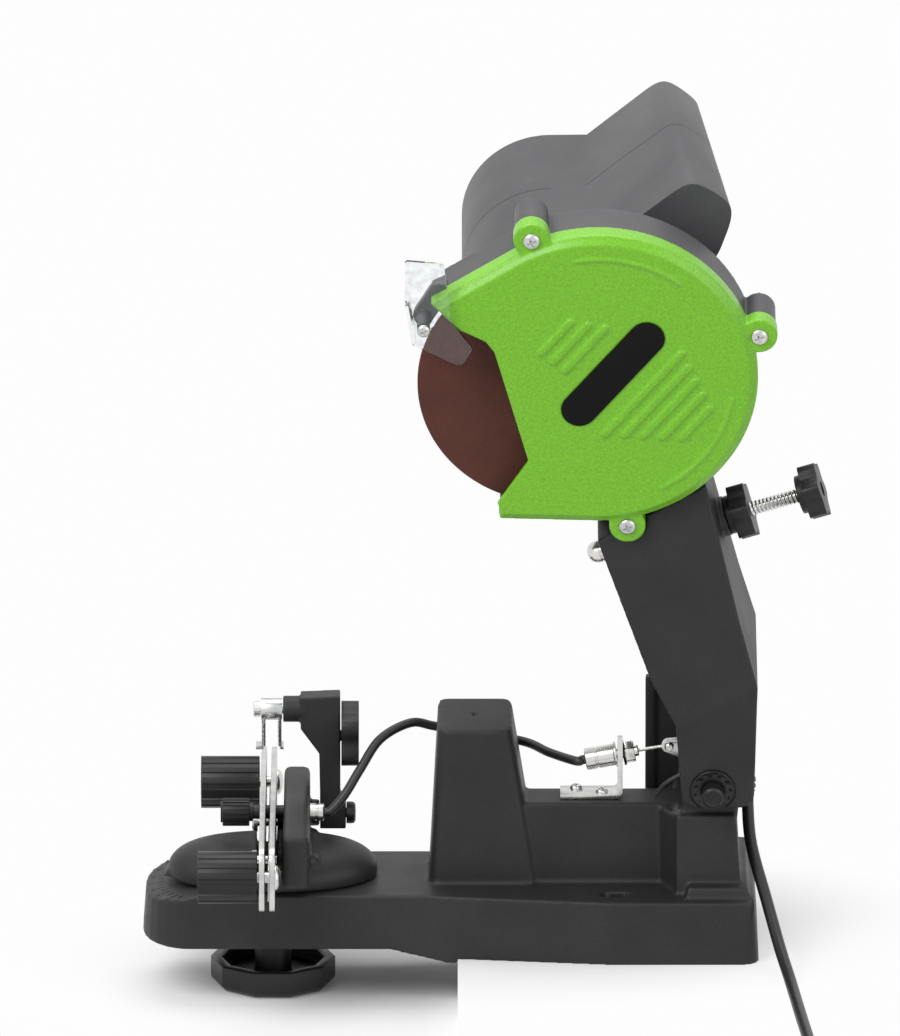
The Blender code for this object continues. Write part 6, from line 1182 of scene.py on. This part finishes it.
def build_adjuster():
    knob = grip(0.0076, 20, 0.0006, -0.0127, 0.0146, *ADJUSTER_AT)
    neck = vise_turned(((0, -0.002), (0.0050, -0.002), (0.0050, 0.0018), (0.0038, 0.0022),
                        (0.0038, 0.0256), (0, 0.0256)), -0.0127, *ADJUSTER_AT)
    fused(knob, neck)
    dressed(shaded(knob), "tension_screw", "knob_black", "tension", "tension_adjuster")
    ferrule = vise_turned(((0.0028, 0), (0.0048, 0), (0.0048, 0.0030), (0.0044, 0.0033),
                           (0.0044, 0.0041), (0.0048, 0.0044), (0.0048, 0.0069),
                           (0.0042, 0.0075), (0.0028, 0.0075), (0.0028, 0)),
                          0.0203, *ADJUSTER_AT)
    dressed(ferrule, "sheath_ferrule", "steel", "vise", "cable_ferrule")


def build_stop():
    head = vise_turned(((0, -0.0050), (0.0028, -0.0050), (0.0028, -0.0022), (0.0033, -0.0022),
                        (0.0034, -0.0050), (0.0046, -0.0049), (0.0057, -0.0041),
                        (0.0060, -0.0028), (0.0060, 0), (0.0028, 0), (0.0028, 0.0240),
                        (0, 0.0240)), 0.0398, STOP_Y, 0.0545, -1)
    dressed(head, "stop_screw", "black_steel", "vise", "stop_bolt")
    pawl = rounded(node_copy("chain_pawl"), 0.0004, 2, 40)
    dressed(shaded(pawl), "chain_stop", "zinc", "pawl", "chain_pawl")
    pin = vise_turned(((0, 0), (0.0036, 0), (0.0042, 0.0006), (0.0042, 0.0040),
                       (0.0028, 0.0040), (0.0028, 0.0234), (0, 0.0234)),
                      -0.0108, STOP_Y, 0.1137)
    dressed(pin, "stop_pin", "steel", "stop_arm_body", "pawl_pin")
    shape = [(STOP_Y + a, 0.0984 + b) for a, b in star_shape(0.019, 5, 0.22)]
    knob = rounded(vise_plate([shape], 0.0371, 0.0466), 0.0021, 4, 50)
    stud = vise_turned(((0, 0), (0.003, 0), (0.003, 0.0110), (0, 0.0110)), 0.0290, STOP_Y,
                       0.0984)
    fused(knob, stud)
    dressed(shaded(knob), "reach_knob", "knob_black", "stop_knob_body", "stop_knob")


def build_swivel():
    cup = rounded(node_copy("clamp_knob"), 0.0010, 3, 24)
    dressed(shaded(cup), "clamp_cup", "knob_black", "clamp_knob_body", "clamp_knob")
    stud = turned(((0, 0), (0.0042, 0), (0.005, 0.0008), (0.005, 0.0630), (0.0044, 0.0640),
                   (0, 0.0640)), VISE @ Matrix.Translation((0, 0, -0.0235)), 32)
    dressed(stud, "swivel_pin", "steel", "vise", "swivel_stud")


# Cord fittings and switch

def build_relief():
    """A tapered, ringed sleeve round the cord where it leaves the column."""
    path = rounded_path(CORD_ROUTE[:7], 40)
    places, radii, run = [], [], 0.0
    for i, here in enumerate(path):
        run += (here - path[i - 1]).length if i else 0
        if 0.0003 <= run <= 0.0245:
            share = (run - 0.0083) / 0.016
            radius = 0.0056 if run < 0.0083 else 0.0052 - 0.0014 * share
            if run > 0.0100 and math.sin(TURN * run / 0.0030) < -0.2:
                radius -= 0.0007
            places.append(here)
            radii.append(radius / 0.0056)
    sleeve = meshed(wire("relief", places, 0.0056, 6, radii))
    dressed(shaded(sleeve, 30), "cord_sleeve", "rubber", "base", "strain_relief")


def build_plug():
    """Moulded two-pin plug with a grip waist, a collar and metal pins."""
    end = COIL[-1]
    x, y, z = end.x - 0.0003, end.y, end.z
    plan = ([(x, y - 0.0061), (x, y + 0.0061), (x - 0.010, y + 0.0135), (x - 0.017, y + 0.0175),
             (x - 0.034, y + 0.0175), (x - 0.034, y - 0.0175), (x - 0.017, y - 0.0175),
             (x - 0.010, y - 0.0135)])
    body = rounded(flat([plan], z - 0.010, z + 0.010), 0.0042, 5, 18)
    for k in range(4):
        for side in (-1, 1):
            groove = box((x - 0.0215 - k * 0.003, y - 0.010, z + side * 0.0103 - 0.0008),
                         (x - 0.0200 - k * 0.003, y + 0.010, z + side * 0.0103 + 0.0008))
            cut(body, groove)
    collar = turned(((0, -0.004), (0.0052, -0.004), (0.0050, 0.0005), (0.0042, 0.0012),
                     (0.0046, 0.0020), (0.0039, 0.0028), (0.0043, 0.0036), (0.0036, 0.0044),
                     (0.0033, 0.0120), (0, 0.0120)), along((x, y, z), (1, 0, 0)), 32)
    fused(body, collar)
    plug = dressed(shaded(body, 30), "plug_body", "rubber", "base", "mains_plug")
    pins = []
    for side in (-1, 1):
        profile = ((0, -0.002), (0.0024, -0.002), (0.0024, 0.0175), (0.0019, 0.0186),
                   (0.0010, 0.0190), (0, 0.0190))
        pins.append(turned(profile, along((x - 0.034, y + side * 0.0095, z), (-1, 0, 0)), 24))
    return plug, dressed(joined(pins), "plug_pins", "steel", "base")


def build_rocker():
    rocker = rounded(node_copy("switch_rocker"), 0.0005, 3, 20)
    dressed(shaded(rocker), "rocker_switch", "knob_black", "rocker", "switch_rocker")


build_castings()
build_cover()
build_guard()
build_motor()
build_disc()
build_shield()
build_head_screws()
build_pivot()
build_cable()
build_housing()
build_depth_screw()
build_rails()
build_adjuster()
build_stop()
build_swivel()
build_relief()
build_rocker()
plug_pieces = build_plug()
mains_cord.data.bevel_depth = 1.0
for point in mains_cord.data.splines[0].points:
    point.radius = CORD_RADIUS
mains_cord.data.materials.append(FINISHES["rubber"])


# Stage

STAGE_WHITE = 0.985

def build_stage():
    """A white bench slab under the foot and a floor below it; both go plain white far off."""
    white = bpy.data.materials.new("stage_white")
    white.use_nodes = True
    tree = white.node_tree
    shader = tree.nodes["Principled BSDF"]
    shader.inputs["Base Color"].default_value = (0.93, 0.93, 0.93, 1)
    shader.inputs["Roughness"].default_value = 0.95
    shader.inputs["Specular IOR Level"].default_value = 0.05
    place = node(tree, 'ShaderNodeTexCoord')
    shift = node(tree, 'ShaderNodeVectorMath', {1: (0.09, -0.02, 0)},
                 {0: place.outputs["Object"]}, operation='ADD')
    oval = node(tree, 'ShaderNodeVectorMath', {1: (0.55, 1, 1)}, {0: shift.outputs[0]},
                operation='MULTIPLY')
    far = node(tree, 'ShaderNodeVectorMath', {}, {0: oval.outputs[0]}, operation='LENGTH')
    share = node(tree, 'ShaderNodeMapRange', {"From Min": 0.05, "From Max": 0.16},
                 {"Value": far.outputs["Value"]}, interpolation_type='SMOOTHSTEP')
    glow = node(tree, 'ShaderNodeEmission', {"Color": (1, 1, 1, 1), "Strength": STAGE_WHITE})
    mix = node(tree, 'ShaderNodeMixShader', {}, {0: share.outputs[0],
               1: shader.outputs[0], 2: glow.outputs[0]})
    tree.links.new(mix.outputs[0], tree.nodes["Material Output"].inputs["Surface"])
    slab = box((-0.0816, -0.26, -0.0275), (0.30, 0.26, -0.00005))
    slab.name = "bench_slab"
    floor = box((-0.48, -0.26, -0.0300), (0.30, 0.26, -0.0276))
    floor.name = "floor"
    for piece in (slab, floor):
        piece.data.materials.append(white)


def lamp(name, place, aim, size, power):
    data = bpy.data.lights.new(name, 'AREA')
    data.shape = 'RECTANGLE'
    data.size, data.size_y = size
    data.energy = power
    obj = bpy.data.objects.new(name, data)
    bpy.context.scene.collection.objects.link(obj)
    obj.location = place
    obj.rotation_euler = (Vector(aim) - Vector(place)).to_track_quat('-Z', 'Y').to_euler()
    return obj


def build_world():
    world = bpy.data.worlds.new("studio")
    bpy.context.scene.world = world
    world.use_nodes = True
    tree = world.node_tree
    background = tree.nodes["Background"]
    path = node(tree, 'ShaderNodeLightPath')
    seen = node(tree, 'ShaderNodeMath', {}, {0: path.outputs["Is Camera Ray"],
                1: path.outputs["Is Glossy Ray"]}, operation='MAXIMUM')
    seen = node(tree, 'ShaderNodeMath', {}, {0: seen.outputs[0],
                1: path.outputs["Is Transmission Ray"]}, operation='MAXIMUM')
    level = node(tree, 'ShaderNodeMapRange', {"To Min": 0.40, "To Max": STAGE_WHITE},
                 {"Value": seen.outputs[0]})
    tree.links.new(level.outputs[0], background.inputs["Strength"])
    background.inputs["Color"].default_value = (1, 1, 1, 1)
    bpy.context.scene.view_settings.view_transform = 'Standard'


build_stage()
build_world()
lamp("key_lamp", (-1.1, -1.3, 1.7), (-0.05, 0, 0.2), (1.2, 1.2), 28)
lamp("fill_lamp", (1.5, -1.4, 0.9), (-0.05, 0, 0.2), (1.4, 1.4), 10)
lamp("top_lamp", (-0.1, 0.5, 2.0), (-0.08, 0, 0.1), (1.6, 1.2), 16)

bpy.context.view_layer.update()
